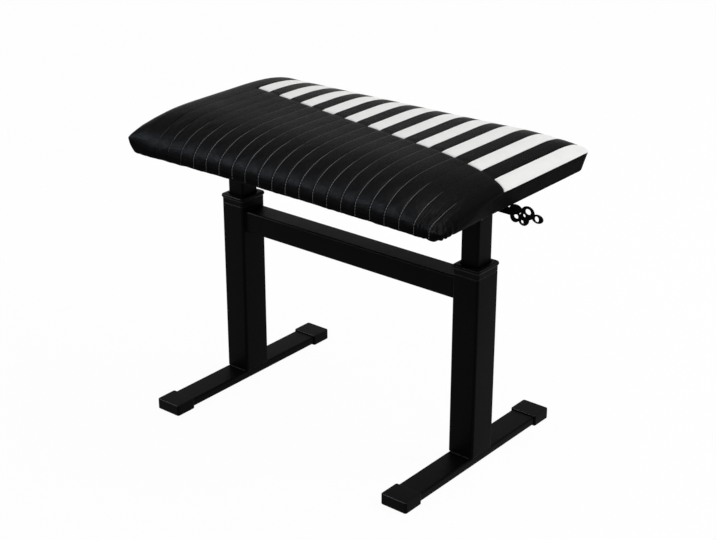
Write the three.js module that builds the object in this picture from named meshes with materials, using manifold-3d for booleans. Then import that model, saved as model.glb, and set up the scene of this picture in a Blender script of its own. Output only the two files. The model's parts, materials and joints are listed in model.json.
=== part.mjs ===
// Height-adjustable keyboard bench: a padded seat with a keyboard pattern on two telescopic columns,
// each with a gas spring, and a clef-shaped handle under the right end that releases both springs.
// Millimetres, +X towards the handle's end, +Y to the rear, +Z up.
// Everything is placed in the bench frame: midway between the columns and the foot ends, on the floor.
// The exported group is then shifted, so that its origin lies under the middle of the whole bench.
import * as THREE from "three";
import { mergeVertices } from "three/addons/utils/BufferGeometryUtils.js";
import Module from "manifold-3d";

const wasm = await Module();
wasm.setup();

// Fits
const CLEARANCE = 0.3; // between two pieces that touch, seat or slide
const OVERRUN = 2; // how far a cutting shape runs past what it cuts
const MERGE_DISTANCE = 0.0001;

// Feet
const COLUMN_SPACING = 440; // centre to centre
const COLUMN_SETBACK = 3.5; // columns' centre behind the middle of the feet
const FOOT_LENGTH = 356; // over both caps
const FOOT_TUBE_WIDTH = 40;
const FOOT_TUBE_HEIGHT = 13;
const FOOT_TUBE_WALL = 1.8;
const FOOT_TUBE_CORNER = 2.5;
const CAP_LENGTH = 36;
const CAP_WALL = 2;
const CAP_END_WALL = 4;
const CAP_FRONT_CORNER = 3.5;
const CAP_REAR_CORNER = 1.5;
const CAP_EDGE = 1.5;

// Columns and cross beam
const OUTER_COLUMN_WIDTH = 43;
const OUTER_COLUMN_DEPTH = 50;
const OUTER_COLUMN_WALL = 2;
const OUTER_COLUMN_CORNER = 4;
const OUTER_COLUMN_HEIGHT = 280.4;
const INNER_COLUMN_WIDTH = 29.5;
const INNER_COLUMN_DEPTH = 34;
const INNER_COLUMN_WALL = 2;
const INNER_COLUMN_CORNER = 3;
const INNER_COLUMN_LIFT = 44.4; // its lower end above the outer column's, at the lowest seat height
const BEAM_DEPTH = 38;
const BEAM_HEIGHT = 34;
const BEAM_WALL = 2;
const BEAM_CORNER = 3;
const BEAM_BELOW_TOP = 7.2; // beam's top below the outer column's top

// Guide collar and glide shoe
const COLLAR_BAND = 8; // straight part above the tube's end
const COLLAR_RIM = 6; // bulged rim above the band
const COLLAR_BULGE = 2;
const COLLAR_SLEEVE = 30; // part inside the outer column
const COLLAR_GROOVE_WIDTH = 1.6;
const COLLAR_GROOVE_DEPTH = 5;
const SHOE_HEIGHT = 40;
const SHOE_LIP = 3;

// Gas spring
const CYLINDER_RADIUS = 10;
const CYLINDER_WALL = 2;
const CYLINDER_BASE = 18;
const CYLINDER_GUIDE = 12;
const CYLINDER_EDGE = 1.5;
const ROD_RADIUS = 5;
const ROD_EXPOSED = 35.7; // between the cylinder and the release head at the lowest seat height
const ROD_SPARE = 20; // stroke left above the piston at the highest seat height
const PISTON_HEIGHT = 12;
const SPRING_BOLT_RADIUS = 4;
const SPRING_BOLT_HEAD_RADIUS = 6.5;
const SPRING_BOLT_HEAD_HEIGHT = 5;
const SPRING_BOLT_REACH = 14; // thread inside the cylinder's base
const BOLT_ACCESS_RADIUS = 9;

// Release head, pin and cross bolt
const HEAD_HEIGHT = 12.5;
const HEAD_CEILING = 3.5; // solid above the rod's socket
const HEAD_BELOW_SHAFT = 9.5; // head's top below the release shaft's axis
const PIN_RADIUS = 2.5;
const PIN_LENGTH = 40;
const HEAD_BOLT_RADIUS = 2.5;
const HEAD_BOLT_OFFSET = 9.5; // in front of the rod's axis
const HEAD_BOLT_HEAD_RADIUS = 4;
const HEAD_BOLT_HEAD_HEIGHT = 2.5;

// Release shaft, cams and lever
const SHAFT_RADIUS = 4;
const SHAFT_BEHIND_COLUMN = 7; // shaft's axis behind the column's centre
const SHAFT_BELOW_BRACKET = 6.7;
const SHAFT_END = 1.5; // shaft past the lever
const SHAFT_HEAD_RADIUS = 5.6;
const SHAFT_HEAD_LENGTH = 3;
const BUSH_WALL = 1.2;
const BUSH_FLANGE_RADIUS = 6.1;
const BUSH_FLANGE = 1.5;
const CAM_HUB_RADIUS = 6;
const CAM_NOSE_RADIUS = 2.5;
const CAM_WIDTH = 12;
const LEVER_THICKNESS = 6;
const LEVER_HUB_RADIUS = 6;
const LEVER_END_RADIUS = 5;
const HANDLE_BEHIND_SHAFT = 22.5; // handle plate's middle behind the shaft's axis
const HANDLE_BELOW_SHAFT = 11.9; // handle's root below the shaft's axis

// Clef handle
const HANDLE_THICKNESS = 6;
const HANDLE_EDGE = 0.8;
const HANDLE_ROOT_LENGTH = 12.75;
const HANDLE_ROOT_HEIGHT = 8.8;
const HANDLE_SCREW_RADIUS = 1.5;
const HANDLE_SCREW_REACH = 10;
const HANDLE_SCREW_HEAD_RADIUS = 3;
const HANDLE_SCREW_HEAD_HEIGHT = 2.2;
const CLEF_LENGTH = 51.1; // from the root bar's end to the tip
const CLEF_THICKNESS = 3.2;

// Seat
const COLUMN_EXPOSED = 97; // inner column between the collar and the seat, at the lowest height
const SEAT_OVERHANG = 54; // seat's underside past each column's centre
const SEAT_DEPTH = 348;
const SEAT_SETBACK = 13.2; // seat's middle behind the middle of the feet
const SEAT_TRAVEL = 120;
const BOARD_THICKNESS = 12;
const BOARD_END_MARGIN = 18; // cushion edge to board edge
const BOARD_FRONT_MARGIN = 18;
const BOARD_CORNER = 20;
const DUST_COVER_THICKNESS = 1;
const BRACKET_THICKNESS = 3;
const BRACKET_WIDTH = 48;
const BRACKET_DEPTH = 190;
const BRACKET_CORNER = 8;
const GUSSET_LENGTH = 45;
const GUSSET_DROP = 22;
const GUSSET_THICKNESS = 3;
const SEAT_SCREW_RADIUS = 2.2;
const SEAT_SCREW_HEAD_RADIUS = 4.4;
const SEAT_SCREW_HEAD_HEIGHT = 2.5;
const SEAT_SCREW_REACH = 9; // thread inside the board
const SEAT_SCREW_TIP = 2;
const SEAT_SCREW_MARGIN_X = 9; // bracket edge to screw
const SEAT_SCREW_MARGIN_Y = 14;

// Cushion
const CUSHION_HEIGHT = 56; // crown above the seat's underside
const EDGE_BULGE = 2.2; // front and rear edges past the underside
const EDGE_BULGE_HEIGHT = 11;
const LEFT_BULGE = 12;
const LEFT_BULGE_HEIGHT = 22;
const RIGHT_BULGE = 9;
const RIGHT_SEAM_HEIGHT = 30;
const SEAM_FRONT = 135; // where the right seam reaches its full height, from the front edge
const FRONT_BOW = 6; // front and rear edges drawn in, from the corners to the middle
const LEFT_FRONT_CORNER = 4;
const RIGHT_FRONT_CORNER = 12;
const LEFT_REAR_CORNER = 34;
const RIGHT_REAR_CORNER = 10;
const FRONT_ROLL = 130; // how far in the crown still rises
const LEFT_REAR_ROLL = 135;
const RIGHT_REAR_ROLL = 65;
const LEFT_ROLL = 40;
const RIGHT_ROLL = 130;
const LEFT_BLANK = 56.7; // left edge to the first sewn channel
const RIGHT_BLANK = 18.8; // last sewn channel to the right seam
const CHANNEL_DEPTH = 1.8;
const CHANNEL_SHOULDER = 3.6; // channel's half width
const CHANNEL_SCALLOP = 1; // how far a channel draws the front edge in
const KEY_THICKNESS = 1;
const KEY_LIFT = 0.45; // key strip's gap to the faceted crown
const KEY_EDGE = 0.8; // key strip's edge from the channel's middle
const KEY_FRONT_LEFT = 219; // first key's front end behind the front edge
const KEY_FRONT_RIGHT = 138; // last key's front end behind the front edge
const KEY_LEAST_STEP = 6;

// Counts, shares and angles
const CHANNELS = 21;
const KEYS = 11;
const CORNER_STEPS = 3;
const ROUND_STEPS = 20;
const HEXAGON_STEPS = 6;
const SMALL_ROUND_STEPS = 12;
const LOBE_STEPS = 10; // half the sides of a clef lobe
const EYE_STEPS = 6;
const CAP_STEPS = 2;
const RELEASE_ANGLE = THREE.MathUtils.degToRad(14);
const EDGE_ROLL_POWER = 2.6; // fuller than a quarter ellipse
const LEFT_ROLL_POWER = 3;
const SEAM_ROLL_POWER = 2; // a quarter ellipse
const LEFT_COLUMN_SHARES = [0, 0.08, 0.26, 0.58];
const RIGHT_COLUMN_SHARES = [0.4, 0.8, 1];
const ROLL_ROW_SHARES = [0, 0.03, 0.1, 0.23, 0.46, 0.77];
// Collar rim from the band up: outward offset as a share of the bulge, height as a share of the rim.
const RIM_SHARES = [
  [0.75, 0.2],
  [1, 0.5],
  [0.7, 0.85],
  [-0.2, 1],
];
// Clef lobes and holes: middle and half sizes as shares of the clef's length, from the root bar's end.
const CLEF_LOBE_SHARES = {
  hookBlob: [0.129, 0.108, 0.194, 0.129],
  hookLoop: [0.114, -0.108, 0.157, 0.168],
  lowerTurn: [0.387, -0.133, 0.172, 0.178],
  upperTurn: [0.507, 0.076, 0.215, 0.194],
  topLoop: [0.824, -0.016, 0.176, 0.125],
};
const CLEF_HOLE_SHARES = {
  hookEye: [0.151, -0.098, 0.08, 0.07],
  lowerEye: [0.35, -0.205, 0.05, 0.052],
  middleEye: [0.405, -0.016, 0.048, 0.048],
  upperEye: [0.522, 0.117, 0.098, 0.086],
  topEye: [0.8, -0.022, 0.075, 0.085],
};

// Heights, from the floor up
const FOOT_TUBE_BOTTOM = CAP_WALL + CLEARANCE;
const FOOT_TUBE_TOP = FOOT_TUBE_BOTTOM + FOOT_TUBE_HEIGHT;
const CAP_HEIGHT = FOOT_TUBE_TOP + CLEARANCE + CAP_WALL;
const COLUMN_BOTTOM = FOOT_TUBE_TOP + CLEARANCE;
const COLUMN_TOP = COLUMN_BOTTOM + OUTER_COLUMN_HEIGHT;
const COLLAR_TOP = COLUMN_TOP + CLEARANCE + COLLAR_BAND + COLLAR_RIM;
const SEAT_BOTTOM = COLLAR_TOP + COLUMN_EXPOSED;
const BRACKET_BOTTOM = SEAT_BOTTOM - CLEARANCE - BRACKET_THICKNESS;
const BOARD_BOTTOM = SEAT_BOTTOM + DUST_COVER_THICKNESS + CLEARANCE;
const INNER_COLUMN_TOP = BRACKET_BOTTOM - CLEARANCE;
const INNER_COLUMN_BOTTOM = COLUMN_BOTTOM + INNER_COLUMN_LIFT;
const SHAFT_Z = BRACKET_BOTTOM - SHAFT_BELOW_BRACKET;
const HEAD_TOP = SHAFT_Z - HEAD_BELOW_SHAFT;
const HEAD_BOTTOM = HEAD_TOP - HEAD_HEIGHT;
const CYLINDER_TOP = HEAD_BOTTOM - ROD_EXPOSED;
const ROD_BOTTOM = CYLINDER_TOP - CYLINDER_GUIDE - ROD_SPARE - SEAT_TRAVEL - PISTON_HEIGHT;
const HEAD_BOLT_Z = HEAD_TOP - HEAD_HEIGHT / 2;
const PIN_TOP = SHAFT_Z - CAM_HUB_RADIUS - CLEARANCE;

// How far the cams push the release pins at the end of the handle's travel
const CAM_NOSE_DROP = CAM_HUB_RADIUS - CAM_NOSE_RADIUS;
const CAM_NOSE_SWING = SHAFT_BEHIND_COLUMN * Math.sin(RELEASE_ANGLE);
const CAM_NOSE_FALL = CAM_NOSE_DROP * Math.cos(RELEASE_ANGLE);
const PIN_TRAVEL = CAM_NOSE_SWING + CAM_NOSE_FALL + CAM_NOSE_RADIUS - CAM_HUB_RADIUS;

// Places across the bench
const COLUMN_X = COLUMN_SPACING / 2;
const SHAFT_Y = COLUMN_SETBACK + SHAFT_BEHIND_COLUMN;
const INNER_FACE_X = COLUMN_X + INNER_COLUMN_WIDTH / 2;
const BUSH_HOLE_RADIUS = SHAFT_RADIUS + CLEARANCE + BUSH_WALL + CLEARANCE;
const LEVER_X = INNER_FACE_X + CLEARANCE + BUSH_FLANGE + CLEARANCE;
const HANDLE_X = LEVER_X + LEVER_THICKNESS + CLEARANCE;
const HANDLE_Y = SHAFT_Y + HANDLE_BEHIND_SHAFT;
const HANDLE_Z = SHAFT_Z - HANDLE_BELOW_SHAFT;
const HANDLE_TIP_X = HANDLE_X + HANDLE_ROOT_LENGTH + CLEF_LENGTH;
const SEAT_LENGTH = COLUMN_SPACING + 2 * SEAT_OVERHANG;
const CUSHION_LEFT = -SEAT_LENGTH / 2 - LEFT_BULGE;
const CUSHION_RIGHT = SEAT_LENGTH / 2 + RIGHT_BULGE;
const CUSHION_FRONT = SEAT_SETBACK - SEAT_DEPTH / 2 - EDGE_BULGE;
const CUSHION_REAR = SEAT_SETBACK + SEAT_DEPTH / 2 + EDGE_BULGE;

const FINISHES = {
  blackPaint: { color: 0x17181a, roughness: 0.42, metalness: 0.3 },
  blackPlastic: { color: 0x141416, roughness: 0.6, metalness: 0 },
  blackVinyl: { color: 0x191a1e, roughness: 0.5, metalness: 0 },
  whiteVinyl: { color: 0xe9e8e4, roughness: 0.55, metalness: 0 },
  plywood: { color: 0xb99a6b, roughness: 0.8, metalness: 0 },
  dustCloth: { color: 0x1d1d1f, roughness: 0.95, metalness: 0 },
  zincSteel: { color: 0xb8bbc0, roughness: 0.35, metalness: 0.9 },
  chromeSteel: { color: 0xd8dade, roughness: 0.12, metalness: 1 },
  acetal: { color: 0xd9d8d2, roughness: 0.5, metalness: 0 },
};

const bench = new THREE.Group();

/** Adds one named piece to the bench. */
function addPart(name, geometry, finish) {
  geometry.computeVertexNormals();
  const mesh = new THREE.Mesh(geometry, new THREE.MeshStandardMaterial(FINISHES[finish]));
  mesh.name = name;
  bench.add(mesh);
}

/** A closed geometry as a solid for joins and cuts. */
function solidOf(geometry) {
  const bare = geometry.index ? geometry.toNonIndexed() : geometry.clone();
  for (const attribute of ["normal", "uv"]) bare.deleteAttribute(attribute);
  const merged = mergeVertices(bare, MERGE_DISTANCE);
  const triVerts = new Uint32Array(merged.index.array);
  const vertProperties = merged.attributes.position.array;
  return new wasm.Manifold(new wasm.Mesh({ numProp: 3, vertProperties, triVerts }));
}

function geometryOf(solid) {
  const { vertProperties, triVerts } = solid.getMesh();
  const geometry = new THREE.BufferGeometry();
  geometry.setAttribute("position", new THREE.BufferAttribute(vertProperties, 3));
  geometry.setIndex(new THREE.BufferAttribute(triVerts, 1));
  return geometry.toNonIndexed();
}

function join(first, ...others) {
  return geometryOf(others.reduce((solid, other) => solid.add(solidOf(other)), solidOf(first)));
}

function cut(body, ...tools) {
  return geometryOf(tools.reduce((solid, tool) => solid.subtract(solidOf(tool)), solidOf(body)));
}

/** Points of a rounded rectangle about the Z axis at one height, anticlockwise from above. */
function sectionRing({ width, depth, corner }, z) {
  const points = [];
  for (const [quarter, signX, signY] of [[0, 1, 1], [1, -1, 1], [2, -1, -1], [3, 1, -1]]) {
    for (let step = 0; step <= CORNER_STEPS; step += 1) {
      const angle = (quarter + step / CORNER_STEPS) * (Math.PI / 2);
      const x = signX * (width / 2 - corner) + corner * Math.cos(angle);
      const y = signY * (depth / 2 - corner) + corner * Math.sin(angle);
      points.push(new THREE.Vector3(x, y, z));
    }
  }
  return points;
}

/** A section grown by the same offset all round. */
function grown({ width, depth, corner }, offset) {
  const least = CLEARANCE;
  return { width: width + 2 * offset, depth: depth + 2 * offset, corner: Math.max(corner + offset, least) };
}

function geometryFromTriangles(triangles) {
  const positions = triangles.flatMap((corners) => corners.flatMap(({ x, y, z }) => [x, y, z]));
  const geometry = new THREE.BufferGeometry();
  geometry.setAttribute("position", new THREE.Float32BufferAttribute(positions, 3));
  return geometry;
}

/** Skins rings of equal count: capped at both ends, or closed on itself as a hollow ring. */
function loft(rings, capped = true) {
  const triangles = [];
  const bands = capped ? rings.length - 1 : rings.length;
  for (let band = 0; band < bands; band += 1) {
    const low = rings[band];
    const high = rings[(band + 1) % rings.length];
    low.forEach((corner, index) => {
      const next = (index + 1) % low.length;
      triangles.push([corner, low[next], high[next]], [corner, high[next], high[index]]);
    });
  }
  if (capped) {
    const first = rings[0];
    const last = rings[rings.length - 1];
    for (let index = 1; index < first.length - 1; index += 1) {
      triangles.push([first[0], first[index + 1], first[index]], [last[0], last[index], last[index + 1]]);
    }
  }
  return geometryFromTriangles(triangles);
}

/** A hollow column of one section, open at both ends, standing from z = bottom to top. */
function hollowColumn(section, wall, bottom, top) {
  const bore = grown(section, -wall);
  const outside = [sectionRing(section, bottom), sectionRing(section, top)];
  return loft([...outside, sectionRing(bore, top), sectionRing(bore, bottom)], false);
}

function block(sizeX, sizeY, sizeZ, x, y, z) {
  return new THREE.BoxGeometry(sizeX, sizeY, sizeZ).translate(x, y, z);
}

/** A cylinder between two heights of the Z axis. */
function post(radius, bottom, top, steps = ROUND_STEPS) {
  const height = top - bottom;
  const geometry = new THREE.CylinderGeometry(radius, radius, height, steps);
  return geometry.rotateX(Math.PI / 2).translate(0, 0, bottom + height / 2);
}

/** A cylinder along the X axis, between two places on it. */
function crossPost(radius, start, end, y, z, steps = SMALL_ROUND_STEPS) {
  const length = end - start;
  const geometry = new THREE.CylinderGeometry(radius, radius, length, steps);
  return geometry.rotateZ(-Math.PI / 2).translate(start + length / 2, y, z);
}

/** A body turned about the Z axis from [radius, height] points that start and end on the axis. */
function turned(points, steps = ROUND_STEPS) {
  const profile = points.map(([radius, height]) => new THREE.Vector2(radius, height));
  return new THREE.LatheGeometry(profile, steps).rotateX(Math.PI / 2);
}

/** An outline in the XY plane raised along Z. */
function prism(shape, height, curveSegments = CORNER_STEPS) {
  return new THREE.ExtrudeGeometry(shape, { depth: height, bevelEnabled: false, curveSegments });
}

function roundedPlate({ width, depth, corner }, bottom, top) {
  return loft([sectionRing({ width, depth, corner }, bottom), sectionRing({ width, depth, corner }, top)]);
}

/** Two round ends of their own radii, joined by the lines that touch both. */
function linkShape(start, startRadius, end, endRadius) {
  const along = Math.atan2(end.y - start.y, end.x - start.x);
  const spread = Math.acos((startRadius - endRadius) / start.distanceTo(end));
  const shape = new THREE.Shape();
  shape.absarc(start.x, start.y, startRadius, along + spread, along - spread + 2 * Math.PI, false);
  shape.absarc(end.x, end.y, endRadius, along - spread, along + spread, false);
  return shape;
}

/** Turns an outline of (y, z) points, raised along Z, into a plate that stands across the X axis. */
function acrossX(geometry, x) {
  return geometry.rotateX(Math.PI / 2).rotateZ(Math.PI / 2).translate(x, 0, 0);
}

const outerSection = { width: OUTER_COLUMN_WIDTH, depth: OUTER_COLUMN_DEPTH, corner: OUTER_COLUMN_CORNER };
const innerSection = { width: INNER_COLUMN_WIDTH, depth: INNER_COLUMN_DEPTH, corner: INNER_COLUMN_CORNER };
const outerBore = grown(outerSection, -OUTER_COLUMN_WALL);
const innerBore = grown(innerSection, -INNER_COLUMN_WALL);

/** Flat foot tube along Y, drilled under the column for the gas spring's bolt. */
function footTube() {
  const section = { width: FOOT_TUBE_WIDTH, depth: FOOT_TUBE_HEIGHT, corner: FOOT_TUBE_CORNER };
  const half = FOOT_LENGTH / 2 - CAP_END_WALL - CLEARANCE;
  const middle = FOOT_TUBE_BOTTOM + FOOT_TUBE_HEIGHT / 2;
  const tube = hollowColumn(section, FOOT_TUBE_WALL, -half, half).rotateX(-Math.PI / 2);
  tube.translate(0, 0, middle);
  const boltHole = post(SPRING_BOLT_RADIUS + CLEARANCE, middle, FOOT_TUBE_TOP + OVERRUN);
  const accessHole = post(BOLT_ACCESS_RADIUS, FOOT_TUBE_BOTTOM - OVERRUN, middle);
  for (const hole of [boltHole, accessHole]) hole.translate(0, COLUMN_SETBACK, 0);
  return cut(tube, boltHole, accessHole);
}

/** Plastic cap that sleeves the front end of a foot tube and is what the bench stands on. */
function footCap() {
  const width = FOOT_TUBE_WIDTH + 2 * (CLEARANCE + CAP_WALL);
  const inset = CAP_EDGE;
  const halfWidth = width / 2 - inset;
  const front = inset;
  const rear = CAP_LENGTH - inset;
  const frontRadius = CAP_FRONT_CORNER - inset;
  const rearRadius = CAP_REAR_CORNER;
  const plan = new THREE.Shape();
  plan.absarc(halfWidth - frontRadius, front + frontRadius, frontRadius, -Math.PI / 2, 0, false);
  plan.absarc(halfWidth - rearRadius, rear - rearRadius, rearRadius, 0, Math.PI / 2, false);
  plan.absarc(rearRadius - halfWidth, rear - rearRadius, rearRadius, Math.PI / 2, Math.PI, false);
  plan.absarc(frontRadius - halfWidth, front + frontRadius, frontRadius, Math.PI, 1.5 * Math.PI, false);
  const body = new THREE.ExtrudeGeometry(plan, {
    depth: CAP_HEIGHT - 2 * CAP_EDGE,
    bevelThickness: CAP_EDGE,
    bevelSize: CAP_EDGE,
    bevelSegments: CAP_STEPS,
    curveSegments: CAP_STEPS,
  });
  body.translate(0, 0, CAP_EDGE);
  const socketWidth = FOOT_TUBE_WIDTH + 2 * CLEARANCE;
  const socketLength = CAP_LENGTH - CAP_END_WALL + OVERRUN;
  const socketHeight = FOOT_TUBE_HEIGHT + 2 * CLEARANCE;
  const socketY = CAP_END_WALL + socketLength / 2;
  const socket = block(socketWidth, socketLength, socketHeight, 0, socketY, CAP_WALL + socketHeight / 2);
  return cut(body, socket).translate(0, -FOOT_LENGTH / 2, 0);
}

/** Plastic guide: a sleeve inside the outer column, a band flush with it and a bulged rim above. */
function guideCollar() {
  const sleeve = grown(outerBore, -CLEARANCE);
  const bore = grown(innerSection, CLEARANCE);
  const seat = COLUMN_TOP + CLEARANCE;
  const rimBottom = seat + COLLAR_BAND;
  const rim = RIM_SHARES.map(([outward, up]) =>
    sectionRing(grown(outerSection, outward * COLLAR_BULGE), rimBottom + up * COLLAR_RIM),
  );
  const groove = grown(bore, COLLAR_GROOVE_WIDTH);
  return loft(
    [
      sectionRing(sleeve, COLUMN_TOP - COLLAR_SLEEVE),
      sectionRing(sleeve, seat),
      sectionRing(outerSection, seat),
      sectionRing(outerSection, rimBottom),
      ...rim,
      sectionRing(groove, COLLAR_TOP),
      sectionRing(groove, COLLAR_TOP - COLLAR_GROOVE_DEPTH),
      sectionRing(bore, COLLAR_TOP - COLLAR_GROOVE_DEPTH),
      sectionRing(bore, COLUMN_TOP - COLLAR_SLEEVE),
    ],
    false,
  );
}

/** Plastic shoe on the inner column's lower end, sliding in the outer column. */
function glideShoe() {
  const outside = grown(outerBore, -CLEARANCE);
  const socket = grown(innerSection, CLEARANCE);
  const floor = INNER_COLUMN_BOTTOM - CLEARANCE;
  const bottom = floor - SHOE_LIP;
  const top = bottom + SHOE_HEIGHT;
  return loft(
    [
      sectionRing(outside, bottom),
      sectionRing(outside, top),
      sectionRing(socket, top),
      sectionRing(socket, floor),
      sectionRing(innerBore, floor),
      sectionRing(innerBore, bottom),
    ],
    false,
  );
}

/** Inner column, drilled for the release shaft's bushes and the release head's bolt. */
function innerColumn() {
  const tube = hollowColumn(innerSection, INNER_COLUMN_WALL, INNER_COLUMN_BOTTOM, INNER_COLUMN_TOP);
  const half = INNER_COLUMN_WIDTH / 2 + OVERRUN;
  const shaftHole = crossPost(BUSH_HOLE_RADIUS, -half, half, SHAFT_BEHIND_COLUMN, SHAFT_Z);
  const boltHole = crossPost(HEAD_BOLT_RADIUS + CLEARANCE, -half, half, -HEAD_BOLT_OFFSET, HEAD_BOLT_Z);
  return cut(tube, shaftHole, boltHole);
}

/** Steel beam between the outer columns. */
function crossBeam() {
  const section = { width: BEAM_DEPTH, depth: BEAM_HEIGHT, corner: BEAM_CORNER };
  const half = COLUMN_X - OUTER_COLUMN_WIDTH / 2 - CLEARANCE;
  const beam = hollowColumn(section, BEAM_WALL, -half, half);
  beam.rotateZ(Math.PI / 2).rotateY(Math.PI / 2);
  return beam.translate(0, COLUMN_SETBACK, COLUMN_TOP - BEAM_BELOW_TOP - BEAM_HEIGHT / 2);
}

/** Gas spring cylinder: threaded base, bore for the piston and a guide for the rod. */
function springCylinder() {
  const bore = CYLINDER_RADIUS - CYLINDER_WALL;
  const mouth = ROD_RADIUS + CLEARANCE;
  const thread = SPRING_BOLT_RADIUS + CLEARANCE;
  const body = turned([
    [0, COLUMN_BOTTOM],
    [CYLINDER_RADIUS, COLUMN_BOTTOM],
    [CYLINDER_RADIUS, CYLINDER_TOP - CYLINDER_EDGE],
    [CYLINDER_RADIUS - CYLINDER_EDGE, CYLINDER_TOP],
    [mouth, CYLINDER_TOP],
    [mouth, CYLINDER_TOP - CYLINDER_GUIDE],
    [bore, CYLINDER_TOP - CYLINDER_GUIDE],
    [bore, COLUMN_BOTTOM + CYLINDER_BASE],
    [0, COLUMN_BOTTOM + CYLINDER_BASE],
  ]);
  return cut(body, post(thread, COLUMN_BOTTOM - OVERRUN, COLUMN_BOTTOM + SPRING_BOLT_REACH + CLEARANCE));
}

/** Hexagon bolt from inside the foot tube up into the cylinder's base. */
function springBolt() {
  const headTop = FOOT_TUBE_TOP - FOOT_TUBE_WALL - CLEARANCE;
  const low = headTop - SPRING_BOLT_HEAD_HEIGHT;
  const head = post(SPRING_BOLT_HEAD_RADIUS, low, headTop, HEXAGON_STEPS);
  return join(head, post(SPRING_BOLT_RADIUS, headTop - CLEARANCE, COLUMN_BOTTOM + SPRING_BOLT_REACH));
}

/** Piston rod with its piston, bored from the top for the release pin. */
function springRod() {
  const piston = CYLINDER_RADIUS - CYLINDER_WALL - CLEARANCE;
  const top = HEAD_TOP - HEAD_CEILING - CLEARANCE;
  const bore = PIN_RADIUS + CLEARANCE;
  const boreBottom = PIN_TOP - PIN_LENGTH - PIN_TRAVEL - CLEARANCE;
  return turned([
    [0, ROD_BOTTOM],
    [piston, ROD_BOTTOM],
    [piston, ROD_BOTTOM + PISTON_HEIGHT],
    [ROD_RADIUS, ROD_BOTTOM + PISTON_HEIGHT],
    [ROD_RADIUS, top],
    [bore, top],
    [bore, boreBottom],
    [0, boreBottom],
  ]);
}

/** Block in the inner column's top that holds the rod and guides the release pin. */
function releaseHead() {
  const fit = grown(innerBore, -CLEARANCE);
  const body = roundedPlate(fit, HEAD_BOTTOM, HEAD_TOP);
  const rodSocket = post(ROD_RADIUS + CLEARANCE, HEAD_BOTTOM - OVERRUN, HEAD_TOP - HEAD_CEILING);
  const pinHole = post(PIN_RADIUS + CLEARANCE, HEAD_BOTTOM, HEAD_TOP + OVERRUN, SMALL_ROUND_STEPS);
  const half = fit.width / 2 + OVERRUN;
  const boltHole = crossPost(HEAD_BOLT_RADIUS + CLEARANCE, -half, half, -HEAD_BOLT_OFFSET, HEAD_BOLT_Z);
  return cut(body, rodSocket, pinHole, boltHole);
}

/** Cross bolt through the inner column and the release head, its head on the column's left face. */
function headBolt() {
  const face = INNER_COLUMN_WIDTH / 2;
  const seat = -face - CLEARANCE;
  const head = crossPost(
    HEAD_BOLT_HEAD_RADIUS, seat - HEAD_BOLT_HEAD_HEIGHT, seat, -HEAD_BOLT_OFFSET, HEAD_BOLT_Z, HEXAGON_STEPS,
  );
  return join(head, crossPost(HEAD_BOLT_RADIUS, seat - CLEARANCE, face, -HEAD_BOLT_OFFSET, HEAD_BOLT_Z));
}

/** Flanged plastic bush in the inner column's outer wall, for the release shaft. side is 1 or -1. */
function shaftBush(side) {
  const face = INNER_COLUMN_WIDTH / 2;
  const inner = face - INNER_COLUMN_WALL - CLEARANCE;
  const seat = face + CLEARANCE;
  const sleeve = crossPost(BUSH_HOLE_RADIUS - CLEARANCE, inner, seat + CLEARANCE, 0, 0);
  const flange = crossPost(BUSH_FLANGE_RADIUS, seat, seat + BUSH_FLANGE, 0, 0);
  const bore = crossPost(SHAFT_RADIUS + CLEARANCE, inner - OVERRUN, seat + BUSH_FLANGE + OVERRUN, 0, 0);
  const bush = cut(join(sleeve, flange), bore);
  if (side < 0) bush.rotateZ(Math.PI);
  return bush.translate(0, SHAFT_BEHIND_COLUMN, SHAFT_Z);
}

/** Seat bracket: a screwed plate on the inner column with a gusset in front of it and one behind. */
function seatBracket() {
  const section = { width: BRACKET_WIDTH, depth: BRACKET_DEPTH, corner: BRACKET_CORNER };
  const plateY = SEAT_SETBACK - COLUMN_SETBACK;
  const top = BRACKET_BOTTOM + BRACKET_THICKNESS;
  const plate = roundedPlate(section, BRACKET_BOTTOM, top).translate(0, plateY, 0);
  const columnFace = INNER_COLUMN_DEPTH / 2 + CLEARANCE;
  const joinZ = BRACKET_BOTTOM + BRACKET_THICKNESS / 2;
  const gussets = [1, -1].map((side) => {
    const outline = new THREE.Shape([
      new THREE.Vector2(side * columnFace, BRACKET_BOTTOM - GUSSET_DROP),
      new THREE.Vector2(side * (columnFace + GUSSET_LENGTH), BRACKET_BOTTOM),
      new THREE.Vector2(side * (columnFace + GUSSET_LENGTH), joinZ),
      new THREE.Vector2(side * columnFace, joinZ),
    ]);
    return acrossX(prism(outline, GUSSET_THICKNESS), -GUSSET_THICKNESS / 2);
  });
  const holes = screwPlaces().map(([x, y]) => {
    const hole = post(
      SEAT_SCREW_RADIUS + CLEARANCE, BRACKET_BOTTOM - OVERRUN, top + OVERRUN, SMALL_ROUND_STEPS,
    );
    return hole.translate(x, y, 0);
  });
  return cut(join(plate, ...gussets), ...holes);
}

/** Screw places on a bracket, from the column's centre. */
function screwPlaces() {
  const x = BRACKET_WIDTH / 2 - SEAT_SCREW_MARGIN_X;
  const y = BRACKET_DEPTH / 2 - SEAT_SCREW_MARGIN_Y;
  const middle = SEAT_SETBACK - COLUMN_SETBACK;
  return [[-x, middle - y], [x, middle - y], [-x, middle + y], [x, middle + y]];
}

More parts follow.
